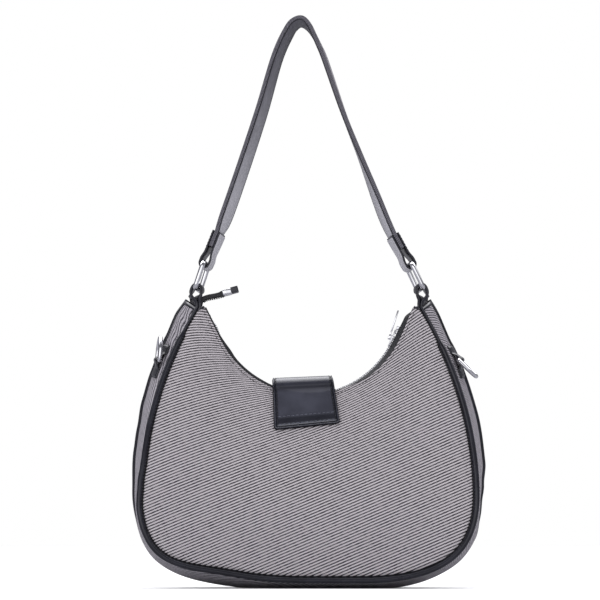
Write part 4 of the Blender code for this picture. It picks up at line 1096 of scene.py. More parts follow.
def wire_ring(name, node, matrix, legs, radius, sides=20):
    """A wire bent in its XY plane and set in its place. A leg is a length, a turn in degrees and its radius."""
    bpy.ops.mesh.primitive_circle_add(vertices=sides, radius=radius, fill_type="NOTHING",
                                      rotation=(0.0, math.radians(90.0), 0.0))
    item = bpy.context.object
    item.name = name
    bpy.ops.object.transform_apply(location=False, rotation=True, scale=False)
    bpy.ops.object.mode_set(mode="EDIT")
    bpy.ops.mesh.select_all(action="SELECT")
    point = Vector((0.0, 0.0, 0.0))
    heading = 0.0
    for length, degrees, turn_radius in legs:
        along = Vector((math.cos(heading), math.sin(heading), 0.0))
        if length > 0.0:
            bpy.ops.mesh.extrude_region_move(TRANSFORM_OT_translate={"value": tuple(along * length)})
            point = point + along * length
        if degrees > 0.0:
            centre = point + Vector((-along.y, along.x, 0.0)) * turn_radius
            turn = math.radians(degrees)
            bpy.ops.mesh.spin(steps=max(int(degrees / 9.0), 1), angle=-turn, center=centre, axis=(0.0, 0.0, 1.0))
            heading += turn
            point = centre + Matrix.Rotation(turn, 3, "Z") @ (point - centre)
    bpy.ops.mesh.select_all(action="SELECT")
    bpy.ops.mesh.remove_doubles(threshold=0.02 * MM)
    bpy.ops.mesh.normals_make_consistent(inside=False)
    bpy.ops.object.mode_set(mode="OBJECT")
    item.data.transform(matrix)
    bpy.ops.object.shade_smooth()
    dress(item, METAL, node, slot="polished_metal", body=node)


RING_TURN = 3.2 * MM
RING_FLAT = 14.0 * MM + RING_ROD_RADIUS - RING_TURN
RING_RISE = RING_BAR_SPACING - 2 * RING_TURN
for side, word in ENDS:
    up, bar = ring_axes(side)
    legs = [(RING_FLAT, 90.0, RING_TURN), (RING_RISE, 90.0, RING_TURN), (2 * RING_FLAT, 90.0, RING_TURN),
            (RING_RISE, 90.0, RING_TURN), (RING_FLAT, 0.0, 0.0)]
    wire_ring("oblong_ring_" + word, "ring_" + word, axes_matrix(bar, up, bar.cross(up), ring_bar(side)),
              legs, RING_ROD_RADIUS)
    print(word, "ring's top bar", [round(v, 4) for v in ring_top(side)])

# %% [markdown]
# ## Thread
# Stitches show wherever two layers are sewn. A bump in the material would be flat at the edges, while a
# modelled stitch catches the light. Each one is five rings of points, fat in the middle, and its ends dip into
# the leather. They are spread evenly along a path of points with their outward directions.


# %% Thread
# A stitch along its length: place along it, thickness and rise as shares of its length and radius
STITCH = ((-0.5, 0.25, -0.7), (-0.36, 0.85, 0.0), (0.0, 1.0, 0.35), (0.36, 0.85, 0.0), (0.5, 0.25, -0.7))


def stitches(name, paths, pitch, length, radius, sides=6):
    """Thread stitches along paths of (point, outward) pairs, as one piece. Sizes are in mm."""
    points, faces = [], []
    for path in paths:
        marks = [0.0]
        for (a, _), (b, _) in zip(path, path[1:]):
            marks.append(marks[-1] + (b - a).length)
        count = max(int(marks[-1] / (pitch * MM)), 1)
        segment = 0
        for stitch in range(count):
            middle = marks[-1] * (stitch + 0.5) / count
            while segment < len(path) - 2 and marks[segment + 1] < middle:
                segment += 1
            (start, start_out), (end, end_out) = path[segment], path[segment + 1]
            t = (middle - marks[segment]) / max(marks[segment + 1] - marks[segment], 1e-9)
            point, out = start.lerp(end, t), start_out.lerp(end_out, t).normalized()
            along = (end - start).normalized()
            side = along.cross(out).normalized()
            faces += ring_faces(len(points), sides, len(STITCH))
            for share, size, lift in STITCH:
                centre = point + along * (share * length * MM) + out * (lift * radius * MM)
                for angle in (math.tau * k / sides for k in range(sides)):
                    points.append(centre + (side * math.cos(angle) + out * math.sin(angle)) * radius * MM * size)
    return make_mesh(name, points, faces)


print("rings in a stitch", len(STITCH))

# %% [markdown]
# ## Side strips and D-rings
# Each D-ring is held by a short leather strip sewn to the gusset, which humps over the ring's bar. A shrinkwrap
# would press the hump flat too, so rays are cast at the gusset only for the sewn ends, and they lie down on the
# bulging cloth.


# %% D-rings
D_WIRE = 1.6 * MM
D_INNER_WIDTH = 17.5 * MM
D_INNER_DEPTH = 15.0 * MM
STRIP_REACH = 14.0 * MM


def tree_of(item):
    shape = bmesh.new()
    shape.from_mesh(item.data)
    tree = BVHTree.FromBMesh(shape)
    shape.free()
    return tree


gusset_tree = tree_of(GUSSET)


def strip_hump(a):
    """The underside of a strip where it humps over its ring's bar."""
    return GAP + 3.55 * MM * math.exp(-(a / (3.7 * MM)) ** 2)


def build_d_ring(side, word, angle):
    pivot = joint_place("d_ring_" + word + "_swing")
    across = Vector((side * 0.15121, 0.98679, 0.05814))
    out = Vector((side * 0.921, -0.162, 0.3542)).normalized()
    up = out.cross(across) * side
    point = pivot - out * (D_WIRE + 1.5 * GAP)

    def lay(a, b, c):
        """A point of the strip: a up, b outward, c across. The strip's ends lie down on the gusset."""
        level = point + up * a + across * c
        sewn = smoothstep((abs(a) - 4.5 * MM) / (3.5 * MM))
        hit = gusset_tree.ray_cast(level + out * 0.02, -out)[0]
        drop = (hit - level).dot(out) if hit else 0.0
        return level + out * (b + sewn * max(drop, -3.0 * MM))

    outer, inner = [], []
    for k in range(57):
        a = mix(-STRIP_REACH, STRIP_REACH, k / 56)
        end = smoothstep((STRIP_REACH - abs(a)) / (2.0 * MM))
        outer_row, inner_row = [], []
        for c in (mix(-4.5, 7.5, j / 14) * MM for j in range(15)):
            side_end = smoothstep((6.0 * MM - abs(c - 1.5 * MM)) / (1.0 * MM))
            thick = mix(0.5, 1.35, end) * mix(0.6, 1.0, side_end) * MM
            inner_row.append(lay(a, strip_hump(a), c))
            outer_row.append(lay(a, strip_hump(a) + thick, c))
        outer.append(outer_row)
        inner.append(inner_row)
    strip = skin("side_strip_" + word, outer, inner)
    dress(strip, LEATHER, "d_ring_strip_" + word, slot="leather")
    paths = []
    for c in (-2.9, 5.9):
        for a_low, a_high in ((-12.6, -6.4), (6.4, 12.6)):
            marks = [mix(a_low, a_high, k / 8) * MM for k in range(9)]
            paths.append([(lay(a, strip_hump(a) + 1.2 * MM, c * MM), out) for a in marks])
    dress(stitches("side_strip_thread_" + word, paths, 2.6, 2.0, 0.26), THREAD)

    half = D_INNER_WIDTH / 2 + D_WIRE
    bow = D_INNER_DEPTH + 2 * D_WIRE - half
    turn = 1.8 * MM
    reach_way = up * math.cos(angle) + out * math.sin(angle)
    legs = [(half - turn, 90.0, turn), (bow - turn, 180.0, half), (bow - turn, 90.0, turn), (half - turn, 0.0, 0.0)]
    wire_ring("side_ring_" + word, "d_ring_" + word, axes_matrix(across, reach_way, across.cross(reach_way), pivot),
              legs, D_WIRE, 16)
    print("side ring", word, [round(v, 4) for v in pivot])


build_d_ring(-1, "left", math.radians(16.0))
build_d_ring(1, "right", math.radians(156.0))

# %% [markdown]
# ## Corner loops
# At each corner a leather band is folded round the ring's lower bar, and its two ends are sewn together and
# down into the corner of the body. Seen along the bar it is a teardrop with an open eye. A flat band could be
# bent by a modifier. A rounded section swept along a drawn line keeps the eye the right size.


# %% Corner loops
def band_rings(line, half_width, half_thicks, rounding, place):
    """Rings of a leather band along a line of (a, b) points, with its width along c."""
    rings = []
    for (a, b), (na, nb), half_thick in zip(line, normals_2d(line), half_thicks):
        section = round_section(half_width, half_thick, half_thick * rounding, 3)
        rings.append([place(a + na * t, b + nb * t, c) for c, t in section])
    return rings


def loop_place(side):
    """Places a point of a loop: a outward, b up from the ring's bar, c along its width."""
    _, bar = ring_axes(side)
    end = 0 if side < 0 else STEPS
    across_corner = (seam_point(1, end) - seam_point(-1, end)).normalized()

    def place(a, b, c):
        below = max(-b - 14.0 * MM, 0.0)
        sewn = smoothstep((-b - 1.0 * MM) / (9.0 * MM))
        width = bar.lerp(across_corner, sewn).normalized()
        out = side * (a + 1.6 * MM * sewn + math.tan(SHOULDER_LEAN) * below)
        return ring_bar(side) + width * c + Vector((out, 0.0, b))

    return place


# The loop's middle line in mm, from its inner tail over the bar to its outer tail
LOOP_LINE = [(-1.2, -15.5), (-1.2, -13.5), (-1.25, -11.0), (-1.3, -7.4), (-3.1, -4.2), (-3.5, 0.0)]
LOOP_LINE += [(3.45 * math.cos(t), 3.45 * math.sin(t)) for t in map(math.radians, (150, 120, 90, 60, 30))]
LOOP_LINE += [(3.9, 0.0), (4.8, -3.2), (4.2, -5.8), (2.0, -8.0), (1.25, -11.0), (1.2, -13.5), (1.2, -15.5)]
for side, word in ENDS:
    line = resample(smooth_path([(a * MM, b * MM) for a, b in LOOP_LINE], 6), 90)
    place = loop_place(side)
    loop = sweep("loop_" + word, band_rings(line, 7.8 * MM, [1.2 * MM] * len(line), 0.75, place))
    dress(loop, LEATHER, "corner_loop_" + word, slot="leather", body=None)
    upright, level = [], []
    for face in (-1, 1):
        out = Vector((side * face, 0.0, 0.0))
        for c in (-6.2, 6.2):
            upright.append([(place(face * 2.3 * MM, mix(-11.2, -14.6, k / 4) * MM, c * MM), out) for k in range(5)])
        level.append([(place(face * 2.3 * MM, -11.3 * MM, mix(-6.2, 6.2, k / 8) * MM), out) for k in range(9)])
    thread = join_parts("loop_thread_" + word, [stitches("upright", upright, 1.9, 1.4, 0.24),
                                                stitches("level", level, 2.4, 1.9, 0.26)])
    dress(thread, THREAD, body=None)
    for piece in (loop, thread):
        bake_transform(piece)
    print(word, "loop faces", len(loop.data.polygons))

# %% [markdown]
# ## Corner bindings and mouth facings
# The end of the gusset is bound with a leather band that crosses from one seam to the other over the loop's
# tail. Behind each twill edge of the mouth a black facing stands a little proud and shows as a dark line. Both
# could be painted on the twill, but they have edges that catch the light, so they are thin sheets laid over it
# with the same point functions.


# %% Bindings and facings
def rounded(k):
    """The rise of a binding's nine rows, as a share."""
    return math.sin(math.pi * (k + 1) / 10)


for side, word in ENDS:
    outer, inner = [], []
    for k in range(9):
        away = 0.45 + 1.45 * k / 8
        index = away if side < 0 else STEPS - away
        row = [mix(-0.02, 1.02, j / 16) for j in range(17)]
        outer.append(gusset_row(index, row, HALF_SHEET + 1.1 * MM * rounded(k)))
        inner.append(gusset_row(index, row, HALF_SHEET - 0.5 * MM))
    dress(skin("corner_binding_" + word, outer, inner), LEATHER, slot="leather")


def corner_edge(side, end, away, v, offset):
    """A point of the panel's short top edge: away is counted in steps from that end."""
    low = int(min(away, 3.0))
    first, second = (low, low + 1) if end < 0 else (STEPS - low, STEPS - low - 1)
    return panel_point(side, first, v, offset).lerp(panel_point(side, second, v, offset), away - low)


for side, word in FACES:
    for end, end_word in ENDS:
        outer, inner = [], []
        for k in range(9):
            marks = [(mix(2.6, 1.15, j / 12) * (0.1 + 0.9 * k / 8), j / 12) for j in range(13)]
            outer.append([corner_edge(side, end, away, v, HALF_SHEET + 0.9 * MM * rounded(k)) for away, v in marks])
            inner.append([corner_edge(side, end, away, v, -HALF_SHEET) for away, v in marks])
        dress(skin("panel_binding_" + word + "_" + end_word, outer, inner), LEATHER, slot="leather")

FACING_Y = (MOUTH_HALF_GAP - 1.9 * MM, MOUTH_HALF_GAP - 1.15 * MM)
for side, word in FACES:
    outer, inner = [], []
    for (x, z), (out_x, out_z) in list(zip(MOUTH, MOUTH_OUT))[2:STEPS - 1]:
        up = Vector((-out_x, 0.0, -out_z))
        proud = mix(0.5, 1.1 if x < 0.0 else 0.3, smoothstep((abs(x) - 0.02) / 0.02))
        proud += smoothstep((-x - 0.022) / 0.008) * (1.0 - smoothstep((-x - 0.062) / 0.006))
        proud += 1.3 * bump((-x - 0.0665) / 0.006)
        edge = Vector((x, 0.0, z)) - up * mouth_ease(x)
        section = ((-5.0, 0.0), (-2.0, 0.0), (proud - 0.5, 0.0), (proud, 0.2 * MM))
        inner.append([edge + up * (rise * MM) + Y_AXIS * side * (FACING_Y[0] + thin) for rise, thin in section])
        outer.append([edge + up * (rise * MM) + Y_AXIS * side * (FACING_Y[1] - thin) for rise, thin in section])
    dress(skin("mouth_facing_" + word, outer, inner), TAPE)
    print(word, "facing rows", len(outer))

# %% [markdown]
# ## Strap
# Twill is folded round a filler and a smooth pale backing is stitched over the join, so from the side a ribbed
# edge, a dark groove and the pale inner face show one beside the other. A curve with a bevel twists as it likes
# where the strap turns, so each station here has its own width direction. Each end is a leather sleeve: a band
# folded round the ring's upper bar with the strap sewn between.


# %% Strap path
STRAP_RISE = 0.1967
# The strap's near edge: place across as a share of the ring's, height as a share of STRAP_RISE, roll in degrees
STRAP_EDGE = ((-0.8750, 0.1980, 16.0), (-0.7240, 0.3782, 17.0), (-0.5215, 0.6274, 16.0), (-0.3565, 0.8510, 13.5),
              (-0.2300, 0.9629, 12.0), (-0.1500, 0.9980, 9.5), (-0.0650, 1.0040, 6.5), (0.0000, 0.9760, 0.0),
              (0.0450, 0.9380, -4.0), (0.0900, 0.8950, -6.0), (0.1500, 0.8343, -6.5), (0.3350, 0.6202, -4.5),
              (0.5140, 0.4428, -1.0), (0.6870, 0.2816, 7.0), (0.7800, 0.1900, 9.0))
STRAP_COUNT = 240
HALF_STRAP = STRAP_THICKNESS / 2
END_LENGTH = 27.0 * MM
SLEEVE_LEAN = {-1: math.radians(21.5), 1: math.radians(28.5)}
SLEEVE_EYE = 3.65 * MM
SLEEVE_FACE = HALF_STRAP + GAP + 1.42 * MM
# Rows of stitches on a sleeve in mm: the lowest and highest, and how far out from its middle
ROW_LOW, ROW_HIGH, ROW_OUT = 9.5, 25.2, 10.4
END_TWIST = {-1: math.radians(3.0), 1: math.radians(2.0)}


def strap_end_place(side):
    """Places a point of a strap end: a outward, b up from the bar, c along the bar from the middle."""
    _, bar = ring_axes(side)
    lean = SLEEVE_LEAN[side]
    up = Vector((-side * math.sin(lean), 0.0, math.cos(lean)))
    out = (up.cross(bar) * -side).normalized()
    upright = bar.cross(out) * -side

    def place(a, b, c):
        twist = END_TWIST[side] * smoothstep(b / END_LENGTH)
        width = bar * math.cos(twist) - out * math.sin(twist)
        away = out * math.cos(twist) + bar * math.sin(twist)
        near = ring_top(side) + upright * b - bar * (STRAP_WIDTH / 2)
        return near + away * a + width * (c + STRAP_WIDTH / 2)

    return place


def strap_stations():
    """The near edge and the width direction at each station, from the left sleeve to the right one."""
    ends = {}
    for side in (-1, 1):
        place = strap_end_place(side)
        ends[side] = []
        for height in (14.3 * MM, 19.0 * MM, 23.5 * MM, 27.5 * MM):
            near = place(0.0, height, -STRAP_WIDTH / 2)
            width = (place(0.0, height, STRAP_WIDTH / 2) - near).normalized()
            ends[side].append((*near, *width))
    near_y = ends[-1][-1][1]
    bar = ring_top(1)
    edge = [(share * bar.x, bar.z + rise * STRAP_RISE) for share, rise, _ in STRAP_EDGE]
    middle = []
    for (x, z), (_, _, roll), (nx, nz) in zip(edge, STRAP_EDGE, normals_2d(edge, -1.0)):
        angle = math.radians(roll)
        middle.append((x, near_y, z, nx * math.sin(angle), math.cos(angle), nz * math.sin(angle)))
    return ends[-1] + middle + list(reversed(ends[1]))


STRAP_PATH = resample(smooth_path(strap_stations(), 12), STRAP_COUNT)
print("strap length", round(STRAP_COUNT * math.dist(STRAP_PATH[0][:3], STRAP_PATH[1][:3]), 3))


def strap_frame(index):
    """Near edge, width direction and outward direction of the strap at a station."""
    before = Vector(STRAP_PATH[max(index - 1, 0)][:3])
    after = Vector(STRAP_PATH[min(index + 1, STRAP_COUNT)][:3])
    along = (after - before).normalized()
    width = Vector(STRAP_PATH[index][3:])
    width = (width - along * width.dot(along)).normalized()
    return Vector(STRAP_PATH[index][:3]), width, width.cross(along)


def strap_sweep(name, section, woven=False):
    """Sweeps (c, a) points along the strap: c across it from the near edge, a toward its outer face."""
    rings, weave = [], []
    run = 0.0
    total = [0.0]
    for start, end in zip(section, section[1:]):
        total.append(total[-1] + math.dist(start, end))
    for index in range(STRAP_COUNT + 1):
        near, width, out = strap_frame(index)
        run += (near - strap_frame(max(index - 1, 0))[0]).length
        rings.append([near + width * c + out * a for c, a in section])
        weave += [((run - distance * 0.8) / RIB_PITCH, (run * 0.62 + distance) / (0.55 * RIB_PITCH))
                  for distance in total]
    return sweep(name, rings, {"weave": weave} if woven else None)


def strap_layer(name, face, points, woven=False):
    """A layer on one face of the strap, through (c, rise over the face) points in mm."""
    return strap_sweep(name, [(c * MM, face * (HALF_STRAP + rise * MM)) for c, rise in points], woven)


# %% Strap
SIGN_OUT = 1.0 if strap_frame(60)[2].x < 0.0 else -1.0
INSIDE = -SIGN_OUT
body_section = [(STRAP_WIDTH / 2 + c, SIGN_OUT * a)
                for c, a in round_section(STRAP_WIDTH / 2, HALF_STRAP, 1.2 * MM, 4)]
strap = strap_sweep("strap_twill", body_section, True)
dress(strap, STRAP_TWILL_PAINTED_SHADE, "strap", slot="twill", body="strap")
backing = ((1.5, -0.1), (2.0, 0.35), (22.2, 0.35), (22.7, -0.1), (12.0, -0.5))
dress(strap_layer("strap_backing", INSIDE, backing), PALE_BACKING, body="strap")
face = ((1.3, -0.1), (1.8, 0.2), (12.0, 0.25), (22.2, 0.2), (22.7, -0.1), (12.0, -0.5))
dress(strap_layer("strap_face", SIGN_OUT, face, True), FACE_TWILL, body="strap")
# Painted shade: a black cord of edge paint runs along each side of the backing, standing in for the shade in the
# groove between the twill edge and the backing.
grooves = []
for c in (1.05, 23.1):
    ring = [(c + 0.80 * math.cos(t), -0.08 + 0.52 * math.sin(t)) for t in (math.tau * k / 8 for k in range(8))]
    grooves.append(strap_layer("groove", INSIDE, ring))
dress(join_parts("strap_groove", grooves), EDGE_PAINT, body="strap")
paths = []
for c in (3.2, 21.0):
    path = []
    for near, width, out in map(strap_frame, range(24, STRAP_COUNT - 23)):
        path.append((near + width * (c * MM) + out * (INSIDE * (HALF_STRAP + 0.36 * MM)), out * INSIDE))
    paths.append(path)
dress(stitches("strap_thread", paths, 3.4, 2.6, 0.16), PALE_BACKING, body="strap")
print("strap faces", len(strap.data.polygons))


# %% Strap ends
def sleeve_line():
    """Middle line of the folded leather: up one face, round the bar and up the other."""
    ply = HALF_STRAP + GAP + 0.7 * MM
    left = [(-ply, END_LENGTH), (-ply, 16.0 * MM), (-ply, 9.0 * MM), (-3.7 * MM, 4.0 * MM), (-3.68 * MM, 0.5 * MM)]
    turns = map(math.radians, (200, 235, 270, 305, 340))
    around = [(SLEEVE_EYE * math.cos(t), SLEEVE_EYE * math.sin(t)) for t in turns]
    right = [(-a, b) for a, b in reversed(left)]
    return resample(smooth_path(left + around + right, 6), 100)


def sleeve_path(place, face, marks):
    """A stitch path over a sleeve's face through (b, c) points in mm."""
    path = []
    for b, c in marks:
        point = place(face * SLEEVE_FACE, b * MM, c * MM)
        path.append((point, (point - place(0.0, b * MM, c * MM)).normalized()))
    return path


SLEEVE_LINE = sleeve_line()
SLEEVE_NORMALS = normals_2d(SLEEVE_LINE)
OUTWARD = 1.0 if SLEEVE_NORMALS[10][0] * SLEEVE_LINE[10][0] > 0.0 else -1.0
SLEEVE_THIN = [mix(0.68, 0.95, smoothstep((min(k, 100 - k) / 100 - 0.18) / 0.14)) * MM for k in range(101)]
for side, word in ENDS:
    place = strap_end_place(side)
    sleeve = sweep("sleeve_" + word, band_rings(SLEEVE_LINE, 11.8 * MM, SLEEVE_THIN, 0.8, place))
    dress(sleeve, LEATHER, "strap_end_" + word, slot="leather", body="strap")
    inner = -1.0 if (place(1.0 * MM, 0.01, 0.0) - place(0.0, 0.01, 0.0)).x * side > 0.0 else 1.0
    pad = []
    for t in (OUTWARD * 1.15 * MM, OUTWARD * 0.5 * MM):
        pad.append([[place(a + na * t, b + nb * t, mix(-11.4, 11.7, j / 6) * MM) for j in range(7)]
                    for (a, b), (na, nb) in zip(SLEEVE_LINE, SLEEVE_NORMALS)
                    if a * inner >= 0.3 * MM and b <= 26.2 * MM])
    dress(skin("sleeve_backing_" + word, *pad), PALE_BACKING, body="strap")
    paths = []
    for face in (-1, 1):
        for c in (-ROW_OUT, ROW_OUT):
            paths.append(sleeve_path(place, face, [(mix(ROW_LOW, ROW_HIGH, k / 16), c) for k in range(17)]))
        for b in (ROW_LOW, ROW_HIGH):
            paths.append(sleeve_path(place, face, [(b, mix(-ROW_OUT, ROW_OUT, k / 12)) for k in range(13)]))
    dress(stitches("sleeve_thread_" + word, paths, 2.6, 2.0, 0.26), THREAD, body="strap")
    print(word, "sleeve faces", len(sleeve.data.polygons))

# %% [markdown]
# ## Closure tab and snap
# One piece of leather is folded over the mouth: sewn down on the back, free on the front, where a magnetic snap
# holds it. It could be draped, but rays cast at the panels lay it on them more exactly. Its bead, its stitch
# channels and a second line across its foot are pushed into the outer face by the distance from its edge.


# %% Closure tab
# The tab's fold and its foot in mm: left and right X, then left and right Z
TAB_TOP, TAB_FOOT = (-29.2, 18.6, 166.0, 168.0), (-27.6, 24.4, 123.3, 128.6)
# In mm: its width, its length from foot to foot, its height on one side and the rounding of its corners
TAB_WIDTH, TAB_LENGTH, TAB_SIDE, CORNER_ROUND = 51.0, 110.0, 43.0, 2.6
TAB_ROWS, TAB_COLUMNS = 96, 40
# The share of its length that arches over the mouth, and the height share where the arch begins
ARCH, ARCH_START = 0.24, 0.20
# Rows of stitches in mm: from the side, and the first and second from the foot
SIDE_ROW, FOOT_ROW, SECOND_ROW = 3.0, 4.4, 11.2
panel_trees = {side: tree_of(PANELS[side]) for side in (-1, 1)}


def tab_corner(share_across, share_down):
    """X and Z on the tab's face: it is a little wider at its foot than at its fold."""
    into_corner = max(CORNER_ROUND - (1.0 - share_down) * TAB_SIDE, 0.0)
    inset = CORNER_ROUND - math.sqrt(max(CORNER_ROUND ** 2 - into_corner ** 2, 0.0))
    across = mix(share_across, 0.5, inset / 25.0)
    left_x, right_x, left_z, right_z = (mix(a, b, share_down) * MM for a, b in zip(TAB_TOP, TAB_FOOT))
    return mix(left_x, right_x, across), mix(left_z, right_z, across)


def tab_depth(side, x, z, standoff):
    lowest = MOUTH_HALF_GAP + HALF_SHEET
    hit = panel_trees[side].ray_cast(Vector((x, side * 0.2, z)), Vector((0.0, -side, 0.0)))[0]
    return max(abs(hit.y) if hit else lowest, lowest) + standoff


def tab_surface(share_across, t):
    """Middle surface of the tab's inner face: t runs from the back foot over the fold to the front foot."""
    side = -1 if t < 0.5 else 1
    standoff = 0.7 * MM if side < 0 else 4.6 * MM
    down = abs(t - 0.5) * 2.0
    if down > ARCH:
        x, z = tab_corner(share_across, mix(ARCH_START, 1.0, (down - ARCH) / (1.0 - ARCH)))
        depth = 0.0
        for dx, dz, weight in ((0, 0, 2), (2.5, 0, 1), (-2.5, 0, 1), (0, 3, 1), (0, -3, 1)):
            depth += tab_depth(side, x + dx * MM, z + dz * MM, standoff) * weight / 6.0
        return Vector((x, side * depth, z))
    angle = math.radians(90.0 * (1.0 - down / ARCH))
    x0, z0 = tab_corner(share_across, ARCH_START)
    x1, z1 = tab_corner(share_across, 0.0)
    lowest = MOUTH_HALF_GAP + HALF_SHEET + standoff + 0.6 * MM
    return Vector((mix(x0, x1, math.sin(angle)), side * lowest * math.cos(angle),
                   mix(z0, z1 - 2.6 * MM, math.sin(angle))))


def grid_normal(grid, i, j):
    down = grid[min(i + 1, len(grid) - 1)][j] - grid[max(i - 1, 0)][j]
    across = grid[i][min(j + 1, len(grid[0]) - 1)] - grid[i][max(j - 1, 0)]
    return across.cross(down).normalized()


def both_ends(ends, inset, count):
    """Shares from 0 to 1: the given ones at both ends and even ones between."""
    return ends + [mix(inset, 1.0 - inset, k / count) for k in range(count + 1)] + [1 - v for v in reversed(ends)]


across_shares = both_ends([0.0, 0.008, 0.017, 0.026, 0.037, 0.048, 0.059, 0.070], 0.08, TAB_COLUMNS)
foot_marks = (0.0, 0.4, 0.8, 1.2, 1.6, 2.0, 2.6, 3.2, 3.8, 4.4, 5.0, 5.8)
down_marks = both_ends([k / TAB_LENGTH for k in foot_marks], 0.06, TAB_ROWS)
tab_grid = [[tab_surface(s, t) for s in across_shares] for t in down_marks]
for _ in range(2):
    smoothed = [list(row) for row in tab_grid]
    for i in range(1, len(tab_grid) - 1):
        for j in range(len(across_shares)):
            smoothed[i][j] = tab_grid[i][j] * 0.5 + (tab_grid[i - 1][j] + tab_grid[i + 1][j]) * 0.25
    tab_grid = smoothed
flip = 1.0 if grid_normal(tab_grid, 5, 20).y < 0.0 else -1.0
tab_out = [[grid_normal(tab_grid, i, j) * flip for j in range(len(across_shares))] for i in range(len(down_marks))]


def tab_edges(s, t):
    """Distance in mm from the nearer side, from the nearer foot, and how far a point is inside the side rows."""
    from_side, from_foot = min(s, 1.0 - s) * TAB_WIDTH, min(t, 1.0 - t) * TAB_LENGTH
    return from_side, from_foot, smoothstep((from_side - 2.6) / 0.8)


def tab_face(i, j, extra=0.0):
    """A point of the tab's outer face with its edge bead and stitch channels."""
    from_side, from_foot, inside = tab_edges(across_shares[j], down_marks[i])
    near = min(from_side, from_foot)
    lift = 2.30 * mix(0.30, 1.0, smoothstep(near / 0.9)) + 0.30 * bump((near - 0.9) / 0.45)
    lift -= 0.60 * bump((near - 1.9) / 0.45)
    lift -= 0.28 * bump((from_side - SIDE_ROW) / 0.45) * smoothstep(from_foot - 3.0)
    lift -= 0.35 * (bump((from_foot - FOOT_ROW) / 0.5) + bump((from_foot - SECOND_ROW) / 0.5)) * inside
    lift -= 0.40 * inside * smoothstep((10.9 - from_foot) / 0.7) * smoothstep((from_foot - 2.4) / 1.2)
    return tab_grid[i][j] + tab_out[i][j] * ((lift + extra) * MM)


def tab_edge_paint_and_shade(s, t):
    """How dark the leather is painted: edge paint on its cut edge, and painted shade in the groove inside the bead,
    along the side stitches, between the foot rows and under the fold.
    """
    from_side, from_foot, inside = tab_edges(s, t)
    near = min(from_side, from_foot)
    return max(1.0 - smoothstep((near - 0.25) / 0.45),
               0.9 * bump((near - 1.95) / 0.75),
               0.75 * bump((from_side - SIDE_ROW) / 0.9) * smoothstep(from_foot - 3.0),
               0.6 * inside * smoothstep((from_foot - 4.6) / 0.5) * (1.0 - smoothstep((from_foot - 10.2) / 0.8)),
               0.55 * bump((from_foot - 41.0) / 5.0))


def tab_path(points):
    """A stitch path over the tab's face through (share across, mark) pairs."""
    path = []
    for s, t in points:
        j = min(range(len(across_shares)), key=lambda k: abs(across_shares[k] - s))
        i = min(range(len(down_marks)), key=lambda k: abs(down_marks[k] - t))
        path.append((tab_face(i, j, 0.12), tab_out[i][j]))
    return path


outer = [[tab_face(i, j) for j in range(len(across_shares))] for i in range(len(down_marks))]
# Painted shade: the groove set paints the tab's cut edge near black as edge paint, and paints shade into its
# grooves, stitch channels, foot band and the band under the fold.
edge_paint_and_shade = [(tab_edge_paint_and_shade(s, t), 0.0) for t in down_marks for s in across_shares]
tab = skin("folded_tab", outer, tab_grid, {"groove": edge_paint_and_shade})
dress(tab, TAB_LEATHER_PAINTED_LIGHT, "tab_back", "tab_front", slot="leather", body=None)
side_share, foot_mark, second_mark = SIDE_ROW / TAB_WIDTH, FOOT_ROW / TAB_LENGTH, SECOND_ROW / TAB_LENGTH
inner_shares = [s for s in across_shares if side_share <= s <= 1.0 - side_share]
inner_marks = [t for t in down_marks if foot_mark <= t <= 1.0 - foot_mark]
paths = [tab_path([(s, t) for t in inner_marks]) for s in (side_share, 1.0 - side_share)]
side_thread = stitches("tab_side_thread", paths, 3.9, 2.8, 0.34)
dress(side_thread, THREAD, body=None)
marks = (foot_mark, second_mark, 1.0 - second_mark, 1.0 - foot_mark)
tab_thread = stitches("tab_thread", [tab_path([(s, t) for s in inner_shares]) for t in marks], 3.4, 2.5, 0.34)
dress(tab_thread, TAB_THREAD_PAINTED_SHEEN, body=None)
for piece in (tab, side_thread, tab_thread):
    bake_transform(piece)
print("tab grid", len(down_marks), "by", len(across_shares))


# %% Snap
def snap_disc(name, node, body):
    """A turned disc with a rounded rim, set on the CAD piece's middle and facing."""
    low, high = (Vector(v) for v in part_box(node))
    centre = (low + high) / 2
    mesh = frame["nodes"][node].data
    normal = Vector((0.0, 0.0, 0.0))
    for polygon in mesh.polygons:
        if polygon.normal.y > 0.8:
            normal += polygon.normal * polygon.area
    normal.normalize()
    depths = [(v.co - centre).dot(normal) for v in mesh.vertices]
    thick = max(depths) - min(depths)
    bpy.ops.mesh.primitive_cylinder_add(vertices=40, radius=7.0 * MM, depth=thick)
    disc = bpy.context.object
    bevel_edges(thick * 0.22, 2)
    turn = Vector((0.0, 0.0, 1.0)).rotation_difference(normal).to_matrix().to_4x4()
    middle = centre + normal * ((max(depths) + min(depths)) / 2)
    settle(disc, name, Matrix.Translation(middle) @ turn, 35.0)
    dress(disc, METAL, node, slot="polished_metal", body=body)
    print(name, "is thick by", round(thick, 4))


snap_disc("snap_base", "snap_socket", "root")
snap_disc("snap_plate", "snap_stud", "closure_tab")
snap_disc("snap_backing", "snap_washer", "root")


# %% [markdown]
# ## Thread along the mouth
# The turned-in edge of each panel is held by one row of dark stitches that follows the crescent. Rays find the
# cloth's real surface under the path, so no stitch floats or sinks.


# %% Mouth stitching
def mouth_stitch_path(side):
    path = []
    for i in range(6, STEPS - 5):
        top, bottom = panel_point(side, i, 0.0, 0.0), panel_point(side, i, 1.0, 0.0)
        point = panel_point(side, i, HEM_STITCH / (top - bottom).length, HALF_SHEET)
        start = Vector((point.x, side * 0.1, point.z))
        hit, normal, _, _ = panel_trees[side].ray_cast(start, Vector((0.0, -side, 0.0)))
        if hit is None:
            continue
        if normal.y * side < 0.0:
            normal.negate()
        path.append((hit + normal * 0.05 * MM, normal))
    return path


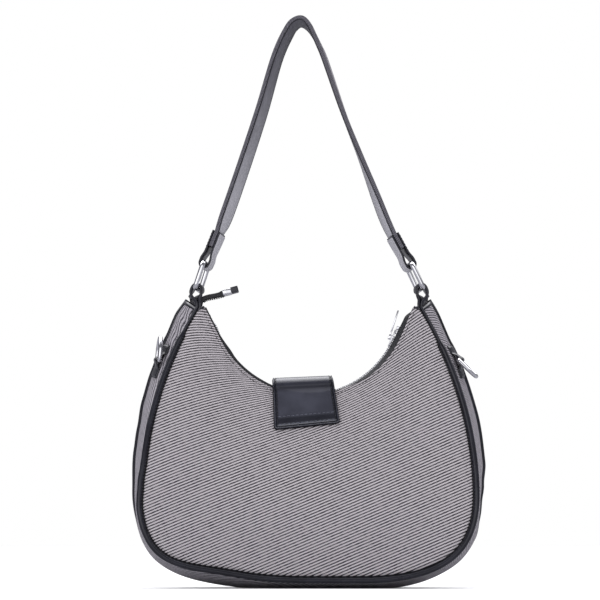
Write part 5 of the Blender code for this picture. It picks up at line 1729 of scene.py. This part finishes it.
for side, word in FACES:
    path = mouth_stitch_path(side)
    dress(stitches("mouth_thread_" + word, [path], 3.0, 2.1, 0.24), THREAD)
    print(word, "stitch path points", len(path))

# %% [markdown]
# ## Studio
# A pale floor runs out under the bag into a white surround, with broad soft lights at the left, at the right
# and above. An even white room would turn the polished rings grey, so what they mirror is made apart: bright
# and dark bands that give them their lines.


# %% Studio
def soft_light(name, place, target, size, power):
    data = bpy.data.lights.new(name, "AREA")
    data.shape = "RECTANGLE"
    data.size, data.size_y = size
    data.energy = power
    light = bpy.data.objects.new(name, data)
    light.location = place
    light.rotation_euler = (Vector(target) - Vector(place)).to_track_quat("-Z", "Y").to_euler()
    light.visible_glossy = False
    bpy.context.scene.collection.objects.link(light)


def build_floor():
    """A pale floor, lit a little for the camera and darker where the metal mirrors it."""
    bpy.ops.mesh.primitive_plane_add(size=12.0, location=(0.0, 3.0, 0.0))
    floor = bpy.context.object
    floor.name = "floor"
    graph = Graph(bpy.data.materials.new("floor"))
    ray = graph.node("LightPath").outputs
    colour = graph.mix(ray["Is Glossy Ray"], (0.93, 0.935, 0.95), (0.30, 0.30, 0.33))
    floor.data.materials.append(graph.shade(
        Base_Color=colour, Roughness=0.6, Specular_IOR_Level=0.1, Emission_Color=(1.0, 1.0, 1.0),
        Emission_Strength=graph.multiply(ray["Is Camera Ray"], 0.16)))
    floor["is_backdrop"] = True


def build_world():
    """White for the camera, grey for soft light, and bright and dark bands for the metal to mirror."""
    world = bpy.data.worlds.new("studio")
    bpy.context.scene.world = world
    graph = Graph(world)
    ray = graph.node("LightPath").outputs
    x, y, z = graph.split(graph.node("TexCoord").outputs["Generated"])
    at_level = graph.fall(graph.math("ABSOLUTE", z), 0.22, 0.40)
    facing = graph.multiply(graph.fall(graph.distance(x, -0.15), 0.58, 0.76), at_level)
    strip = graph.multiply(graph.fall(graph.distance(x, -0.45), 0.22, 0.34), at_level)
    strip = graph.multiply(strip, graph.rise(y, 0.0, -0.2))
    high = graph.multiply(graph.rise(z, 0.40, 0.65), graph.rise(y, -0.35, 0.05))
    mirrored = graph.mix(facing, (0.16, 0.16, 0.18), (1.15, 1.15, 1.18))
    mirrored = graph.mix(strip, mirrored, (1.7, 1.7, 1.75))
    mirrored = graph.mix(graph.rise(y, 0.15, 0.60), mirrored, (0.26, 0.26, 0.28))
    mirrored = graph.mix(high, mirrored, (3.6, 3.6, 3.7))
    ambient = graph.mix(graph.rise(z, 0.0, 0.7), (0.42, 0.42, 0.44), (1.05, 1.05, 1.06))
    shown = graph.mix(ray["Is Glossy Ray"], ambient, mirrored)
    seen = graph.mix(ray["Is Camera Ray"], shown, (1.0, 1.0, 1.0))
    graph.feed_named(graph.nodes["Background"], {"Color": seen, "Strength": 1.0})


build_floor()
build_world()
soft_light("left_window", (-1.5, -1.6, 1.2), (0.0, 0.0, 0.15), (1.0, 1.4), 22.0)
soft_light("right_window", (1.6, -1.3, 1.0), (0.0, 0.0, 0.15), (0.9, 1.4), 12.0)
soft_light("overhead", (0.0, 0.2, 2.2), (0.0, 0.0, 0.1), (1.8, 1.8), 12.0)

CAMERA_PLACE = Vector((-0.0072, -2.2, 0.040))
CAMERA_AIM = Vector((-0.0072, 0.0, 0.2278))
SENSOR_WIDTH = 36.0
FIELD_WIDTH = 0.477
scene = bpy.context.scene
scene.view_settings.view_transform = "Standard"
camera = bpy.data.objects.new("camera", bpy.data.cameras.new("camera"))
scene.collection.objects.link(camera)
camera.location = CAMERA_PLACE
camera.rotation_euler = (CAMERA_AIM - CAMERA_PLACE).to_track_quat("-Z", "Y").to_euler()
camera.data.sensor_width = SENSOR_WIDTH
camera.data.lens = SENSOR_WIDTH * (CAMERA_AIM - CAMERA_PLACE).length / FIELD_WIDTH
scene.camera = camera
print("lens", round(camera.data.lens, 1))

# %% Finish
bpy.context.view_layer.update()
for word, bounds in (("start", start_bounds), ("end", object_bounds())):
    print(word, "bounds", [[round(x, 4) for x in v] for v in bounds])
